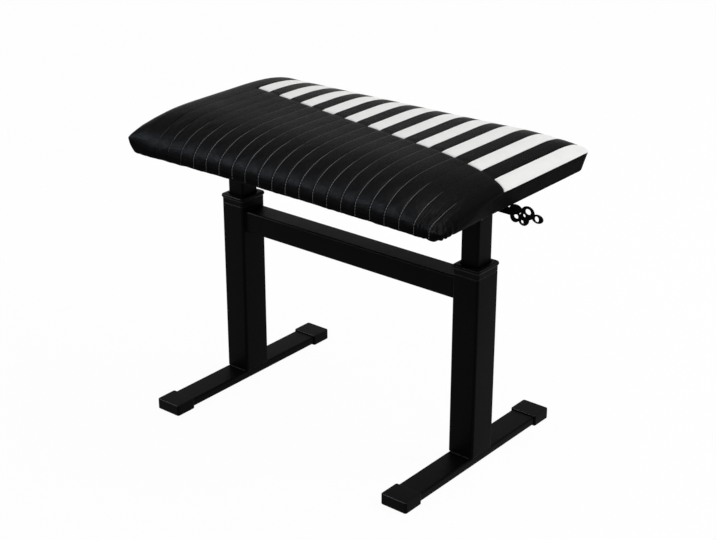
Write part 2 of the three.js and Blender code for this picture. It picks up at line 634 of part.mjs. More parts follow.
/** Pan-head wood screw from under a bracket up into the board. */
function seatScrew() {
  const seat = BRACKET_BOTTOM - CLEARANCE;
  const tip = BOARD_BOTTOM + SEAT_SCREW_REACH;
  const low = seat - SEAT_SCREW_HEAD_HEIGHT;
  return turned(
    [
      [0, low],
      [SEAT_SCREW_HEAD_RADIUS - CLEARANCE, low],
      [SEAT_SCREW_HEAD_RADIUS, seat],
      [SEAT_SCREW_RADIUS, seat],
      [SEAT_SCREW_RADIUS, tip - SEAT_SCREW_TIP],
      [0, tip],
    ],
    SMALL_ROUND_STEPS,
  );
}

/** Round holes of one radius where the seat screws go, between two heights. */
function screwHoles(bottom, top) {
  return [-COLUMN_X, COLUMN_X].flatMap((columnX) =>
    screwPlaces().map(([x, y]) => {
      const hole = post(SEAT_SCREW_RADIUS + CLEARANCE, bottom, top, SMALL_ROUND_STEPS);
      return hole.translate(columnX + x, COLUMN_SETBACK + y, 0);
    }),
  );
}

const boardSection = {
  width: SEAT_LENGTH - 2 * BOARD_END_MARGIN,
  depth: SEAT_DEPTH - 2 * BOARD_FRONT_MARGIN,
  corner: BOARD_CORNER,
};

/** Plywood board with blind pilot holes for the screws. */
function seatBoard() {
  const board = roundedPlate(boardSection, BOARD_BOTTOM, BOARD_BOTTOM + BOARD_THICKNESS);
  const depth = BOARD_BOTTOM + SEAT_SCREW_REACH + CLEARANCE;
  return cut(board.translate(0, SEAT_SETBACK, 0), ...screwHoles(BOARD_BOTTOM - OVERRUN, depth));
}

/** Thin cloth that closes the seat's underside. */
function dustCover() {
  const top = SEAT_BOTTOM + DUST_COVER_THICKNESS;
  const sheet = roundedPlate(boardSection, SEAT_BOTTOM, top).translate(0, SEAT_SETBACK, 0);
  return cut(sheet, ...screwHoles(SEAT_BOTTOM - OVERRUN, top + OVERRUN));
}

/** How far a rounded corner takes an edge in, at a distance from the corner's outer side. */
function cornerInset(distance, radius) {
  const share = Math.max(1 - distance / radius, 0);
  return radius * (1 - Math.sqrt(1 - share * share));
}

/** Front and rear edges of the cushion at one place along it. */
function cushionEdges(x) {
  const isLeft = x < 0;
  const reach = isLeft ? CUSHION_LEFT : CUSHION_RIGHT;
  const bow = FRONT_BOW * (x / reach) ** 2;
  const toEnd = Math.abs(reach - x);
  return {
    front: CUSHION_FRONT - bow + cornerInset(toEnd, isLeft ? LEFT_FRONT_CORNER : RIGHT_FRONT_CORNER),
    rear: CUSHION_REAR - cornerInset(toEnd, isLeft ? LEFT_REAR_CORNER : RIGHT_REAR_CORNER),
  };
}

/** How far in from the rear edge the crown still rises: the cushion is fuller at the right end. */
function rearRoll(x) {
  const share = (x - CUSHION_LEFT) / (CUSHION_RIGHT - CUSHION_LEFT);
  return THREE.MathUtils.lerp(LEFT_REAR_ROLL, RIGHT_REAR_ROLL, share);
}

/** Share of the crown's rise that is reached at a distance in from an edge. */
function rollShare(inset, roll, power) {
  const left = 1 - THREE.MathUtils.clamp(inset / roll, 0, 1);
  return Math.sqrt(1 - left ** power);
}

/** Height of the widest line round the cushion: low in front, raised to a seam on the right end. */
function bulgeHeight(x, y) {
  const { smoothstep, lerp } = THREE.MathUtils;
  const { front } = cushionEdges(x);
  const along = smoothstep(y, front, front + SEAM_FRONT);
  const toRight = THREE.MathUtils.clamp((CUSHION_RIGHT - x) / RIGHT_ROLL, 0, 1);
  const right = lerp(EDGE_BULGE_HEIGHT, RIGHT_SEAM_HEIGHT, along * (1 - toRight ** 2));
  const toLeft = THREE.MathUtils.clamp((x - CUSHION_LEFT) / LEFT_ROLL, 0, 1);
  return lerp(LEFT_BULGE_HEIGHT, right, toLeft);
}

/** A point of the cushion's upper side. grooved is true on a sewn channel. */
function crownPoint(x, y, grooved) {
  const { front, rear } = cushionEdges(x);
  const widest = bulgeHeight(x, y);
  const rise =
    rollShare(y - front, FRONT_ROLL, EDGE_ROLL_POWER) *
    rollShare(rear - y, rearRoll(x), EDGE_ROLL_POWER) *
    rollShare(x - CUSHION_LEFT, LEFT_ROLL, LEFT_ROLL_POWER) *
    rollShare(CUSHION_RIGHT - x, RIGHT_ROLL, SEAM_ROLL_POWER);
  const groove = grooved ? CHANNEL_DEPTH * rise : 0;
  return new THREE.Vector3(x, y, SEAT_BOTTOM + widest + (CUSHION_HEIGHT - widest) * rise - groove);
}

const CHANNEL_PITCH = (CUSHION_RIGHT - RIGHT_BLANK - CUSHION_LEFT - LEFT_BLANK) / (CHANNELS - 1);
const channelX = (index) => CUSHION_LEFT + LEFT_BLANK + index * CHANNEL_PITCH;

/** Columns of the cushion's grid: each channel with a shoulder on both sides, and the two ends. */
function cushionColumns() {
  const plain = (x) => ({ x, grooved: false });
  const columns = LEFT_COLUMN_SHARES.map((share) => plain(CUSHION_LEFT + share * LEFT_BLANK));
  for (let index = 0; index < CHANNELS; index += 1) {
    if (index > 0) columns.push(plain(channelX(index) - CHANNEL_SHOULDER));
    columns.push({ x: channelX(index), grooved: true });
    if (index < CHANNELS - 1) columns.push(plain(channelX(index) + CHANNEL_SHOULDER));
  }
  const last = channelX(CHANNELS - 1);
  return [...columns, ...RIGHT_COLUMN_SHARES.map((share) => plain(last + share * RIGHT_BLANK))];
}

/** Points of one grid column, from the front edge over the crown to the rear edge. */
function crownRow({ x, grooved }) {
  const { front, rear } = cushionEdges(x);
  const scallop = grooved ? CHANNEL_SCALLOP : 0;
  const ys = [
    ...ROLL_ROW_SHARES.map((share) => front + scallop + share * FRONT_ROLL),
    (front + rear) / 2,
    ...ROLL_ROW_SHARES.map((share) => rear - scallop - share * rearRoll(x)).reverse(),
  ];
  return ys.map((y) => crownPoint(x, y, grooved));
}

const crownGrid = cushionColumns().map(crownRow);

/** Cushion: crown with sewn channels, sides drawn in to the underside, and a pocket for the board. */
function seatCushion() {
  const triangles = [];
  const lastColumn = crownGrid.length - 1;
  const lastRow = crownGrid[0].length - 1;
  for (let column = 0; column < lastColumn; column += 1) {
    for (let row = 0; row < lastRow; row += 1) {
      const near = crownGrid[column];
      const far = crownGrid[column + 1];
      triangles.push([near[row], far[row], far[row + 1]], [near[row], far[row + 1], near[row + 1]]);
    }
  }
  const widest = [
    ...crownGrid.map((column) => column[0]),
    ...crownGrid[lastColumn].slice(1),
    ...crownGrid.map((column) => column[lastRow]).reverse().slice(1),
    ...crownGrid[0].slice(1, lastRow).reverse(),
  ];
  const lengthShare = SEAT_LENGTH / (CUSHION_RIGHT - CUSHION_LEFT);
  const depthShare = SEAT_DEPTH / (CUSHION_REAR - CUSHION_FRONT);
  const underside = widest.map(({ x, y }) => {
    const baseX = (x - CUSHION_LEFT) * lengthShare - SEAT_LENGTH / 2;
    return new THREE.Vector3(baseX, SEAT_SETBACK + (y - SEAT_SETBACK) * depthShare, SEAT_BOTTOM);
  });
  const middle = new THREE.Vector3(0, SEAT_SETBACK, SEAT_BOTTOM);
  widest.forEach((corner, index) => {
    const next = (index + 1) % widest.length;
    triangles.push([underside[index], underside[next], widest[next]]);
    triangles.push([underside[index], widest[next], corner]);
    triangles.push([middle, underside[next], underside[index]]);
  });
  const pocketTop = BOARD_BOTTOM + BOARD_THICKNESS + CLEARANCE;
  const pocket = roundedPlate(grown(boardSection, CLEARANCE), SEAT_BOTTOM - OVERRUN, pocketTop);
  return cut(geometryFromTriangles(triangles), pocket.translate(0, SEAT_SETBACK, 0));
}

/** A point of the crown between the grid's columns, in one grid row. */
function gridPoint(x, row) {
  const column = crownGrid.findIndex((points) => points[0].x > x) - 1;
  const near = crownGrid[column][row];
  const far = crownGrid[column + 1][row];
  return new THREE.Vector3().lerpVectors(near, far, (x - near.x) / (far.x - near.x));
}

/** A key strip's line of points, from its front end over the crown to the rear edge. */
function keyLine(x, frontY, firstRow) {
  const rows = crownGrid[0].map((_, row) => gridPoint(x, row));
  const after = rows.findIndex((point) => point.y > frontY);
  const share = (frontY - rows[after - 1].y) / (rows[after].y - rows[after - 1].y);
  return [new THREE.Vector3().lerpVectors(rows[after - 1], rows[after], share), ...rows.slice(firstRow)];
}

/** White key strip: a thin skin over the crown between two channels. index counts from the left. */
function keyStrip(index) {
  const left = channelX(2 * index);
  const isLast = index === KEYS - 1;
  const right = isLast ? CUSHION_RIGHT : channelX(2 * index + 1);
  const inner = isLast
    ? RIGHT_COLUMN_SHARES.slice(0, -1).map((share) => left + share * RIGHT_BLANK)
    : [left + CHANNEL_SHOULDER, right - CHANNEL_SHOULDER, right - KEY_EDGE];
  const xs = [left + KEY_EDGE, ...inner];
  const slope = (KEY_FRONT_RIGHT - KEY_FRONT_LEFT) / (channelX(CHANNELS - 1) - channelX(0));
  const frontAt = (x) => CUSHION_FRONT + KEY_FRONT_LEFT + (x - channelX(0)) * slope;
  const latest = Math.max(...xs.map(frontAt)) + KEY_LEAST_STEP;
  const firstRow = crownGrid[0].findIndex((_, row) => gridPoint(xs[0], row).y > latest);
  const lines = xs.map((x) => keyLine(x, frontAt(x), firstRow));
  const normals = lines.map((line, column) =>
    line.map((_, row) => {
      const before = lines[Math.max(column - 1, 0)][row];
      const after = lines[Math.min(column + 1, lines.length - 1)][row];
      const across = after.clone().sub(before);
      const along = line[Math.min(row + 1, line.length - 1)].clone().sub(line[Math.max(row - 1, 0)]);
      return across.cross(along).normalize();
    }),
  );
  const raised = (height) =>
    lines.map((line, column) =>
      line.map((point, row) => point.clone().addScaledVector(normals[column][row], height)),
    );
  return skinBetween(raised(KEY_LIFT), raised(KEY_LIFT + KEY_THICKNESS));
}

/** Closed solid between a lower and an upper grid of points, each a list of columns. */
function skinBetween(lower, upper) {
  const triangles = [];
  const columns = lower.length - 1;
  const rows = lower[0].length - 1;
  const addQuad = (a, b, c, d) => triangles.push([a, b, c], [a, c, d]);
  for (let column = 0; column < columns; column += 1) {
    for (let row = 0; row < rows; row += 1) {
      const [near, far] = [upper[column], upper[column + 1]];
      addQuad(near[row], far[row], far[row + 1], near[row + 1]);
      const [nearLow, farLow] = [lower[column], lower[column + 1]];
      triangles.push([nearLow[row], farLow[row + 1], farLow[row]]);
      triangles.push([nearLow[row], nearLow[row + 1], farLow[row + 1]]);
    }
    addQuad(lower[column][0], lower[column + 1][0], upper[column + 1][0], upper[column][0]);
    addQuad(lower[column + 1][rows], lower[column][rows], upper[column][rows], upper[column + 1][rows]);
  }
  for (let row = 0; row < rows; row += 1) {
    addQuad(lower[0][row + 1], lower[0][row], upper[0][row], upper[0][row + 1]);
    addQuad(lower[columns][row], lower[columns][row + 1], upper[columns][row + 1], upper[columns][row]);
  }
  return geometryFromTriangles(triangles);
}

/** Shaft across both columns, headed at the left end. */
function releaseShaft() {
  const leftFace = -INNER_FACE_X - CLEARANCE - BUSH_FLANGE - CLEARANCE;
  const end = LEVER_X + LEVER_THICKNESS + SHAFT_END;
  const shaft = crossPost(SHAFT_RADIUS, leftFace - CLEARANCE, end, SHAFT_Y, SHAFT_Z);
  return join(shaft, crossPost(SHAFT_HEAD_RADIUS, leftFace - SHAFT_HEAD_LENGTH, leftFace, SHAFT_Y, SHAFT_Z));
}

/** Cam on the shaft inside a column, with its nose over the release pin. */
function releaseCam() {
  const hub = new THREE.Vector2(SHAFT_Y, SHAFT_Z);
  const nose = new THREE.Vector2(COLUMN_SETBACK, SHAFT_Z - CAM_NOSE_DROP);
  const shape = linkShape(hub, CAM_HUB_RADIUS, nose, CAM_NOSE_RADIUS);
  const body = acrossX(prism(shape, CAM_WIDTH, CORNER_STEPS), -CAM_WIDTH / 2);
  const half = CAM_WIDTH / 2 + OVERRUN;
  return cut(body, crossPost(SHAFT_RADIUS + CLEARANCE, -half, half, SHAFT_Y, SHAFT_Z));
}

/** Lever plate from the shaft back to the handle's root. */
function releaseLever() {
  const hub = new THREE.Vector2(SHAFT_Y, SHAFT_Z);
  const end = new THREE.Vector2(HANDLE_Y, HANDLE_Z);
  const shape = linkShape(hub, LEVER_HUB_RADIUS, end, LEVER_END_RADIUS);
  const body = acrossX(prism(shape, LEVER_THICKNESS, CORNER_STEPS), LEVER_X);
  const [start, stop] = [LEVER_X - OVERRUN, LEVER_X + LEVER_THICKNESS + OVERRUN];
  const shaftHole = crossPost(SHAFT_RADIUS + CLEARANCE, start, stop, SHAFT_Y, SHAFT_Z);
  const screwHole = crossPost(HANDLE_SCREW_RADIUS + CLEARANCE, start, stop, HANDLE_Y, HANDLE_Z);
  return cut(body, shaftHole, screwHole);
}

/** Cast handle: a treble clef lying on its side, with a root bar for the screw. */
function clefHandle() {
  const clefX = HANDLE_X + HANDLE_ROOT_LENGTH;
  const oval = ([x, z, halfWidth, halfHeight], edge) => {
    const shape = new THREE.Shape();
    const [width, height] = [halfWidth * CLEF_LENGTH - edge, halfHeight * CLEF_LENGTH - edge];
    shape.absellipse(x * CLEF_LENGTH, z * CLEF_LENGTH, width, height, 0, 2 * Math.PI, false, 0);
    return shape;
  };
  const bevel = { bevelThickness: HANDLE_EDGE, bevelSize: HANDLE_EDGE, bevelSegments: 1 };
  const depth = CLEF_THICKNESS - 2 * HANDLE_EDGE;
  const stand = (geometry) => geometry.rotateX(Math.PI / 2).translate(clefX, HANDLE_Y, HANDLE_Z);
  const lobes = Object.values(CLEF_LOBE_SHARES).map((lobe) => {
    const options = { depth, curveSegments: LOBE_STEPS, ...bevel };
    const body = new THREE.ExtrudeGeometry(oval(lobe, HANDLE_EDGE), options);
    return stand(body.translate(0, 0, -depth / 2));
  });
  const holes = Object.values(CLEF_HOLE_SHARES).map((hole) => {
    const through = HANDLE_THICKNESS + 2 * OVERRUN;
    return stand(prism(oval(hole, 0), through, EYE_STEPS).translate(0, 0, -through / 2));
  });
  const rootX = HANDLE_X + (HANDLE_ROOT_LENGTH + HANDLE_ROOT_HEIGHT) / 2;
  const rootLength = HANDLE_ROOT_LENGTH + HANDLE_ROOT_HEIGHT;
  const root = block(rootLength, HANDLE_THICKNESS, HANDLE_ROOT_HEIGHT, rootX, HANDLE_Y, HANDLE_Z);
  const screwEnd = HANDLE_X + HANDLE_SCREW_REACH + CLEARANCE;
  const radius = HANDLE_SCREW_RADIUS + CLEARANCE;
  const screwHole = crossPost(radius, HANDLE_X - OVERRUN, screwEnd, HANDLE_Y, HANDLE_Z);
  return cut(join(root, ...lobes), ...holes, screwHole);
}

/** Screw through the lever into the handle's root bar. */
function handleScrew() {
  const seat = LEVER_X - CLEARANCE;
  const place = [HANDLE_Y, HANDLE_Z];
  const head = crossPost(HANDLE_SCREW_HEAD_RADIUS, seat - HANDLE_SCREW_HEAD_HEIGHT, seat, ...place);
  const tip = HANDLE_X + HANDLE_SCREW_REACH;
  return join(head, crossPost(HANDLE_SCREW_RADIUS, seat - CLEARANCE, tip, ...place));
}

for (const [side, sign] of [["left", -1], ["right", 1]]) {
  const footX = sign * COLUMN_X;
  const onColumn = (geometry) => geometry.translate(footX, COLUMN_SETBACK, 0);
  addPart(`foot_tube_${side}`, footTube().translate(footX, 0, 0), "blackPaint");
  addPart(`foot_cap_front_${side}`, footCap().translate(footX, 0, 0), "blackPlastic");
  addPart(`foot_cap_rear_${side}`, footCap().rotateZ(Math.PI).translate(footX, 0, 0), "blackPlastic");
  const outer = hollowColumn(outerSection, OUTER_COLUMN_WALL, COLUMN_BOTTOM, COLUMN_TOP);
  addPart(`outer_column_${side}`, onColumn(outer), "blackPaint");
  addPart(`guide_collar_${side}`, onColumn(guideCollar()), "blackPlastic");
  addPart(`gas_spring_cylinder_${side}`, onColumn(springCylinder()), "blackPaint");
  addPart(`gas_spring_bolt_${side}`, onColumn(springBolt()), "zincSteel");
  addPart(`inner_column_${side}`, onColumn(innerColumn()), "blackPaint");
  addPart(`glide_shoe_${side}`, onColumn(glideShoe()), "acetal");
  addPart(`gas_spring_rod_${side}`, onColumn(springRod()), "chromeSteel");
  addPart(`release_head_${side}`, onColumn(releaseHead()), "zincSteel");
  addPart(`release_head_bolt_${side}`, onColumn(headBolt()), "zincSteel");
  const pin = post(PIN_RADIUS, PIN_TOP - PIN_LENGTH, PIN_TOP, SMALL_ROUND_STEPS);
  addPart(`release_pin_${side}`, onColumn(pin), "zincSteel");
  addPart(`shaft_bush_${side}`, onColumn(shaftBush(sign)), "acetal");
  addPart(`release_cam_${side}`, releaseCam().translate(footX, 0, 0), "zincSteel");
  addPart(`seat_bracket_${side}`, onColumn(seatBracket()), "blackPaint");
  screwPlaces().forEach(([x, y], index) => {
    addPart(`seat_screw_${side}_${index + 1}`, onColumn(seatScrew().translate(x, y, 0)), "zincSteel");
  });
}
addPart("cross_beam", crossBeam(), "blackPaint");
addPart("seat_board", seatBoard(), "plywood");
addPart("dust_cover", dustCover(), "dustCloth");
addPart("seat_cushion", seatCushion(), "blackVinyl");
for (let index = 0; index < KEYS; index += 1) {
  addPart(`white_key_${String(index + 1).padStart(2, "0")}`, keyStrip(index), "whiteVinyl");
}
addPart("release_shaft", releaseShaft(), "zincSteel");
addPart("release_lever", releaseLever(), "blackPaint");
addPart("clef_handle", clefHandle(), "blackPaint");
addPart("handle_screw", handleScrew(), "zincSteel");

// The bench's box runs from the cushion's left edge to the handle's tip, and from the front caps
// to the key strips' rear ends.
const middleX = (CUSHION_LEFT + HANDLE_TIP_X) / 2;
const middleY = (CUSHION_REAR + KEY_LIFT + KEY_THICKNESS - FOOT_LENGTH / 2) / 2;
bench.position.set(-middleX, -middleY, 0);
const part = new THREE.Group();
part.add(bench);

export default part;
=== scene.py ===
"""Looks of the height-adjustable keyboard bench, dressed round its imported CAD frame. Metres, +Z up."""

import json
import logging
import math
from dataclasses import dataclass, field
from enum import Enum

import bmesh
import bpy
import numpy as np
from mathutils import Matrix, Vector, noise
from mathutils.bvhtree import BVHTree

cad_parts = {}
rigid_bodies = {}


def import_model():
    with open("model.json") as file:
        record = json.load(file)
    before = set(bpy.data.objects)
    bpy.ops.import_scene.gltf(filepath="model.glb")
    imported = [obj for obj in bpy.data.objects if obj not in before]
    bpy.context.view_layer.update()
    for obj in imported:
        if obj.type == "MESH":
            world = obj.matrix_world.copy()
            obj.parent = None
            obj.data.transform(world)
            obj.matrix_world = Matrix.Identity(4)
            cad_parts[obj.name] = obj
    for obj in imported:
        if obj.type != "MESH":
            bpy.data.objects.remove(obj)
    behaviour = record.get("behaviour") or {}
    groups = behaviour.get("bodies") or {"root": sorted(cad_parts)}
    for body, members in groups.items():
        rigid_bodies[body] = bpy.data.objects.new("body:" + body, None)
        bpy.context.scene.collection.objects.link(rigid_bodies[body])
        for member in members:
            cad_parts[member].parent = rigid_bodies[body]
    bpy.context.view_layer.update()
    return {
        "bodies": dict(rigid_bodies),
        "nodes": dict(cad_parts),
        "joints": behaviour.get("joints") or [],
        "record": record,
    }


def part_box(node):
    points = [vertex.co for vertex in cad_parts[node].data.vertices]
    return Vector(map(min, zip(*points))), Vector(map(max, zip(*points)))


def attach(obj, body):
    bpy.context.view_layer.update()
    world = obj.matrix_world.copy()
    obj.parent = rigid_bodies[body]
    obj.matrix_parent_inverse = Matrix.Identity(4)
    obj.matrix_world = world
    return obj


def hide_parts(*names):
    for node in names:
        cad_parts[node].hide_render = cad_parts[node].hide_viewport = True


LOG = logging.getLogger("bench")
WHITE = (1.0, 1.0, 1.0, 1.0)


class Relief(Enum):
    """How a finish's surface is textured."""

    HIDE = "hide"
    POWDER = "powder"
    MOULDED = "moulded"
    WEAVE = "weave"
    WOOD = "wood"
    TURNED = "turned"


class Body(Enum):
    """The CAD bodies that the pieces ride on."""

    BASE = "base"
    SEAT = "seat"
    HANDLE = "release_handle"


@dataclass(frozen=True)
class Finish:
    """One finish of the bench, as its material is built from it."""

    name: str
    slot: str
    relief: Relief
    colour: tuple[float, float, float]
    roughness: float
    specular: float = 0.5
    metallic: float = 0.0
    detail: float = 1000.0
    depth: float = 0.0001
    mottle: float = 0.15


BLACK_PAINT = Finish("black powder paint", "black_paint", Relief.POWDER, (0.001, 0.001, 0.0012), 0.42,
                     0.021, detail=900.0, depth=0.00004)
# A lighter colour for the paint's rounded edges: a painted highlight along them.
PAINT_EDGE_HIGHLIGHT = Finish("paint edge with painted highlight", "black_paint", Relief.POWDER, (0.012, 0.012, 0.0125), 0.36, 0.04,
                      detail=900.0, depth=0.00004, mottle=0.5)
BLACK_PLASTIC = Finish("black moulded plastic", "black_plastic", Relief.MOULDED, (0.003, 0.003, 0.0033),
                       0.36, 0.016, detail=1600.0, depth=0.00003)
# A lighter colour for the plastic's rounded edges: a painted highlight along them.
PLASTIC_EDGE_HIGHLIGHT = Finish("plastic edge with painted highlight", "black_plastic", Relief.MOULDED, (0.01, 0.01, 0.0105),
                        0.34, 0.04, detail=1600.0, depth=0.00003, mottle=0.5)
BLACK_VINYL = Finish("black vinyl cover", "black_vinyl", Relief.HIDE, (0.003, 0.003, 0.0034), 0.34, 0.009,
                     detail=620.0, depth=0.00012)
# The cover's own vinyl made darker and duller: painted shade on the cushion's side below the crown.
SHADED_BOXING_VINYL = Finish("black vinyl boxing with painted shade", "black_vinyl", Relief.HIDE, (0.0025, 0.0025, 0.0028), 0.45, 0.004,
                      detail=620.0, depth=0.00008)
WHITE_VINYL = Finish("white vinyl keys", "white_vinyl", Relief.HIDE, (0.84, 0.84, 0.825), 0.5, 0.06,
                     detail=620.0, depth=0.0001, mottle=0.03)
THREAD = Finish("grey thread", "black_vinyl", Relief.WEAVE, (0.17, 0.17, 0.175), 0.7, 0.2,
                detail=2600.0, depth=0.00008)
PLYWOOD = Finish("birch plywood", "plywood", Relief.WOOD, (0.5, 0.36, 0.2), 0.7, 0.3,
                 detail=60.0, depth=0.0001)
DUST_CLOTH = Finish("black dust cloth", "dust_cloth", Relief.WEAVE, (0.012, 0.012, 0.013), 0.9, 0.1,
                    detail=900.0, depth=0.0001)
ZINC = Finish("zinc-plated steel", "zinc_steel", Relief.TURNED, (0.58, 0.59, 0.61), 0.34, 0.5, 1.0,
              detail=900.0, depth=0.00003)
BLACKENED = Finish("blackened bolt", "zinc_steel", Relief.TURNED, (0.02, 0.02, 0.021), 0.5, 0.2,
                   detail=900.0, depth=0.00003)
CHROME = Finish("chrome-plated rod", "chrome_steel", Relief.TURNED, (0.72, 0.73, 0.75), 0.1, 0.5, 1.0,
                detail=1500.0, depth=0.00001)
ACETAL = Finish("white acetal", "acetal", Relief.MOULDED, (0.7, 0.7, 0.66), 0.45, 0.4,
                detail=1200.0, depth=0.00002)


class NodeTree:
    """A thin wrapper that adds and joins shader nodes."""

    def __init__(self, tree: bpy.types.NodeTree) -> None:
        """Takes the node tree to add to."""
        self.tree = tree

    def add(self, kind: str, **settings: object) -> bpy.types.Node:
        """Adds one node.

        Args:
            kind: the node's type name, without its ShaderNode prefix where it has one.
            settings: properties of the node by name.

        Returns:
            The new node.
        """
        node = self.tree.nodes.new(kind if kind.startswith("NodeGroup") else f"ShaderNode{kind}")
        for key, value in settings.items():
            setattr(node, key, value)
        return node

    def join(self, source: bpy.types.NodeSocket, target: bpy.types.NodeSocket) -> None:
        """Links an output to an input."""
        self.tree.links.new(source, target)

    def math(self, operation: str, first: object, second: object = 0.0) -> bpy.types.NodeSocket:
        """Adds a Math node.

        Args:
            operation: the Math node's operation.
            first: a socket or a number.
            second: a socket or a number.

        Returns:
            The node's output socket.
        """
        node = self.add("Math", operation=operation)
        for socket, value in zip(node.inputs, (first, second)):
            if isinstance(value, bpy.types.NodeSocket):
                self.join(value, socket)
            else:
                socket.default_value = value
        return node.outputs[0]


class ShaderKit:
    """The shared node groups, each built once, and the materials made from them."""

    warp_factor: float = 0.35
    warp_shift: float = 0.0016
    furrow: float = 0.32
    pore_factor: float = 3.0
    pore_share: float = 0.35
    thread_waver: float = 1.2
    dust_factor: float = 11.0
    dust_share: float = 0.5
    tone_level: float = 0.6667
    tone_detail: float = 9.0
    tone_range: tuple[float, float] = (0.3, 0.7)

    def __init__(self) -> None:
        """Builds the shared groups."""
        self.groups = {
            Relief.HIDE: self._hide_group(),
            Relief.POWDER: self._noise_group("powder coat", 3.0),
            Relief.MOULDED: self._noise_group("moulded skin", 6.0),
            Relief.WEAVE: self._weave_group(),
            Relief.WOOD: self._noise_group("wood grain", 5.0, (0.08, 1.0, 1.0)),
            Relief.TURNED: self._noise_group("turned metal", stretch=(1.0, 1.0, 0.1)),
        }
        self.mottle = self._mottle_group()
        self.built: dict[Finish, bpy.types.Material] = {}

    def _group(self, name: str, output: str = "Height") -> tuple[NodeTree, bpy.types.Node, bpy.types.Node]:
        """Starts a group with a Vector and a Detail input and one float output.

        Args:
            name: the group's name.
            output: the output's name.

        Returns:
            The group's nodes, its input node and its output node.
        """
        tree = bpy.data.node_groups.new(name, "ShaderNodeTree")
        tree.interface.new_socket("Vector", in_out="INPUT", socket_type="NodeSocketVector")
        tree.interface.new_socket("Detail", in_out="INPUT", socket_type="NodeSocketFloat")
        tree.interface.new_socket(output, in_out="OUTPUT", socket_type="NodeSocketFloat")
        nodes = NodeTree(tree)
        return nodes, nodes.add("NodeGroupInput"), nodes.add("NodeGroupOutput")

    @staticmethod
    def _speckle(nodes: NodeTree, start: bpy.types.Node, factor: float = 1.0, octaves: float = 2.0,
                 stretch: tuple[float, float, float] | None = None) -> bpy.types.Node:
        """Adds a noise texture to a shared group.

        Args:
            nodes: the group's nodes.
            start: the group's input node.
            factor: how many times finer it is than the group's detail.
            octaves: the noise's own detail.
            stretch: how the coordinates are scaled along each axis, if they are.

        Returns:
            The texture node.
        """
        texture = nodes.add("TexNoise")
        texture.inputs["Detail"].default_value = octaves
        place, detail = start.outputs["Vector"], start.outputs["Detail"]
        if stretch is not None:
            mapping = nodes.add("Mapping")
            mapping.inputs["Scale"].default_value = stretch
            nodes.join(place, mapping.inputs["Vector"])
            place = mapping.outputs[0]
        nodes.join(place, texture.inputs["Vector"])
        nodes.join(detail if factor == 1.0 else nodes.math("MULTIPLY", detail, factor), texture.inputs["Scale"])
        return texture

    def _noise_group(self, name: str, octaves: float = 2.0,
                     stretch: tuple[float, float, float] | None = None) -> bpy.types.NodeTree:
        """A noise relief: even for paint and moulded skins, drawn out for wood grain and turned steel."""
        nodes, start, end = self._group(name)
        grain = self._speckle(nodes, start, octaves=octaves, stretch=stretch)
        nodes.join(grain.outputs["Fac"], end.inputs["Height"])
        return nodes.tree

    def _hide_group(self) -> bpy.types.NodeTree:
        """Embossed leather grain: rounded pebbles of uneven size between fine furrows."""
        nodes, start, end = self._group("embossed grain")
        warp = self._speckle(nodes, start, self.warp_factor)
        shift = nodes.add("VectorMath", operation="MULTIPLY_ADD")
        nodes.join(warp.outputs["Color"], shift.inputs[0])
        shift.inputs[1].default_value = (self.warp_shift,) * 3
        nodes.join(start.outputs["Vector"], shift.inputs[2])
        cells = nodes.add("TexVoronoi", feature="DISTANCE_TO_EDGE")
        nodes.join(shift.outputs[0], cells.inputs["Vector"])
        nodes.join(start.outputs["Detail"], cells.inputs["Scale"])
        pebbles = nodes.add("MapRange", interpolation_type="SMOOTHSTEP")
        nodes.join(cells.outputs["Distance"], pebbles.inputs["Value"])
        pebbles.inputs["From Max"].default_value = self.furrow
        fine = self._speckle(nodes, start, self.pore_factor)
        height = nodes.math("MULTIPLY", fine.outputs["Fac"], self.pore_share)
        nodes.join(nodes.math("ADD", pebbles.outputs["Result"], height), end.inputs["Height"])
        return nodes.tree

    def _weave_group(self) -> bpy.types.NodeTree:
        """Two crossing sets of threads."""
        nodes, start, end = self._group("woven threads")
        waves = []
        for direction in ("X", "Y"):
            wave = nodes.add("TexWave", bands_direction=direction)
            wave.inputs["Distortion"].default_value = self.thread_waver
            nodes.join(start.outputs["Vector"], wave.inputs["Vector"])
            nodes.join(start.outputs["Detail"], wave.inputs["Scale"])
            waves.append(wave.outputs["Fac"])
        nodes.join(nodes.math("MAXIMUM", *waves), end.inputs["Height"])
        return nodes.tree

    def _mottle_group(self) -> bpy.types.NodeTree:
        """Broad and fine unevenness of tone, as handling and dust leave it."""
        nodes, start, end = self._group("handling and dust", "Tone")
        broad = self._speckle(nodes, start, octaves=3.0)
        fine = self._speckle(nodes, start, self.dust_factor)
        dust = nodes.math("MULTIPLY", fine.outputs["Fac"], self.dust_share)
        total = nodes.math("ADD", broad.outputs["Fac"], dust)
        nodes.join(nodes.math("MULTIPLY", total, self.tone_level), end.inputs["Tone"])
        return nodes.tree

    def _place(self, nodes: NodeTree, tree: bpy.types.NodeTree, vector: object, detail: float) -> bpy.types.Node:
        """Puts a shared group in a material.

        Args:
            nodes: the material's nodes.
            tree: the shared group.
            vector: the socket with Object coordinates.
            detail: the group's scale.

        Returns:
            The group node.
        """
        node = nodes.add("Group", node_tree=tree)
        nodes.join(vector, node.inputs["Vector"])
        node.inputs["Detail"].default_value = detail
        return node

    @staticmethod
    def _ranged(nodes: NodeTree, value: bpy.types.NodeSocket, source: tuple[float, float],
                target: tuple[float, float]) -> bpy.types.NodeSocket:
        """Maps a socket from one range of values to another."""
        node = nodes.add("MapRange")
        nodes.join(value, node.inputs["Value"])
        for name, limit in zip(("From Min", "From Max", "To Min", "To Max"), (*source, *target)):
            node.inputs[name].default_value = limit
        return node.outputs["Result"]

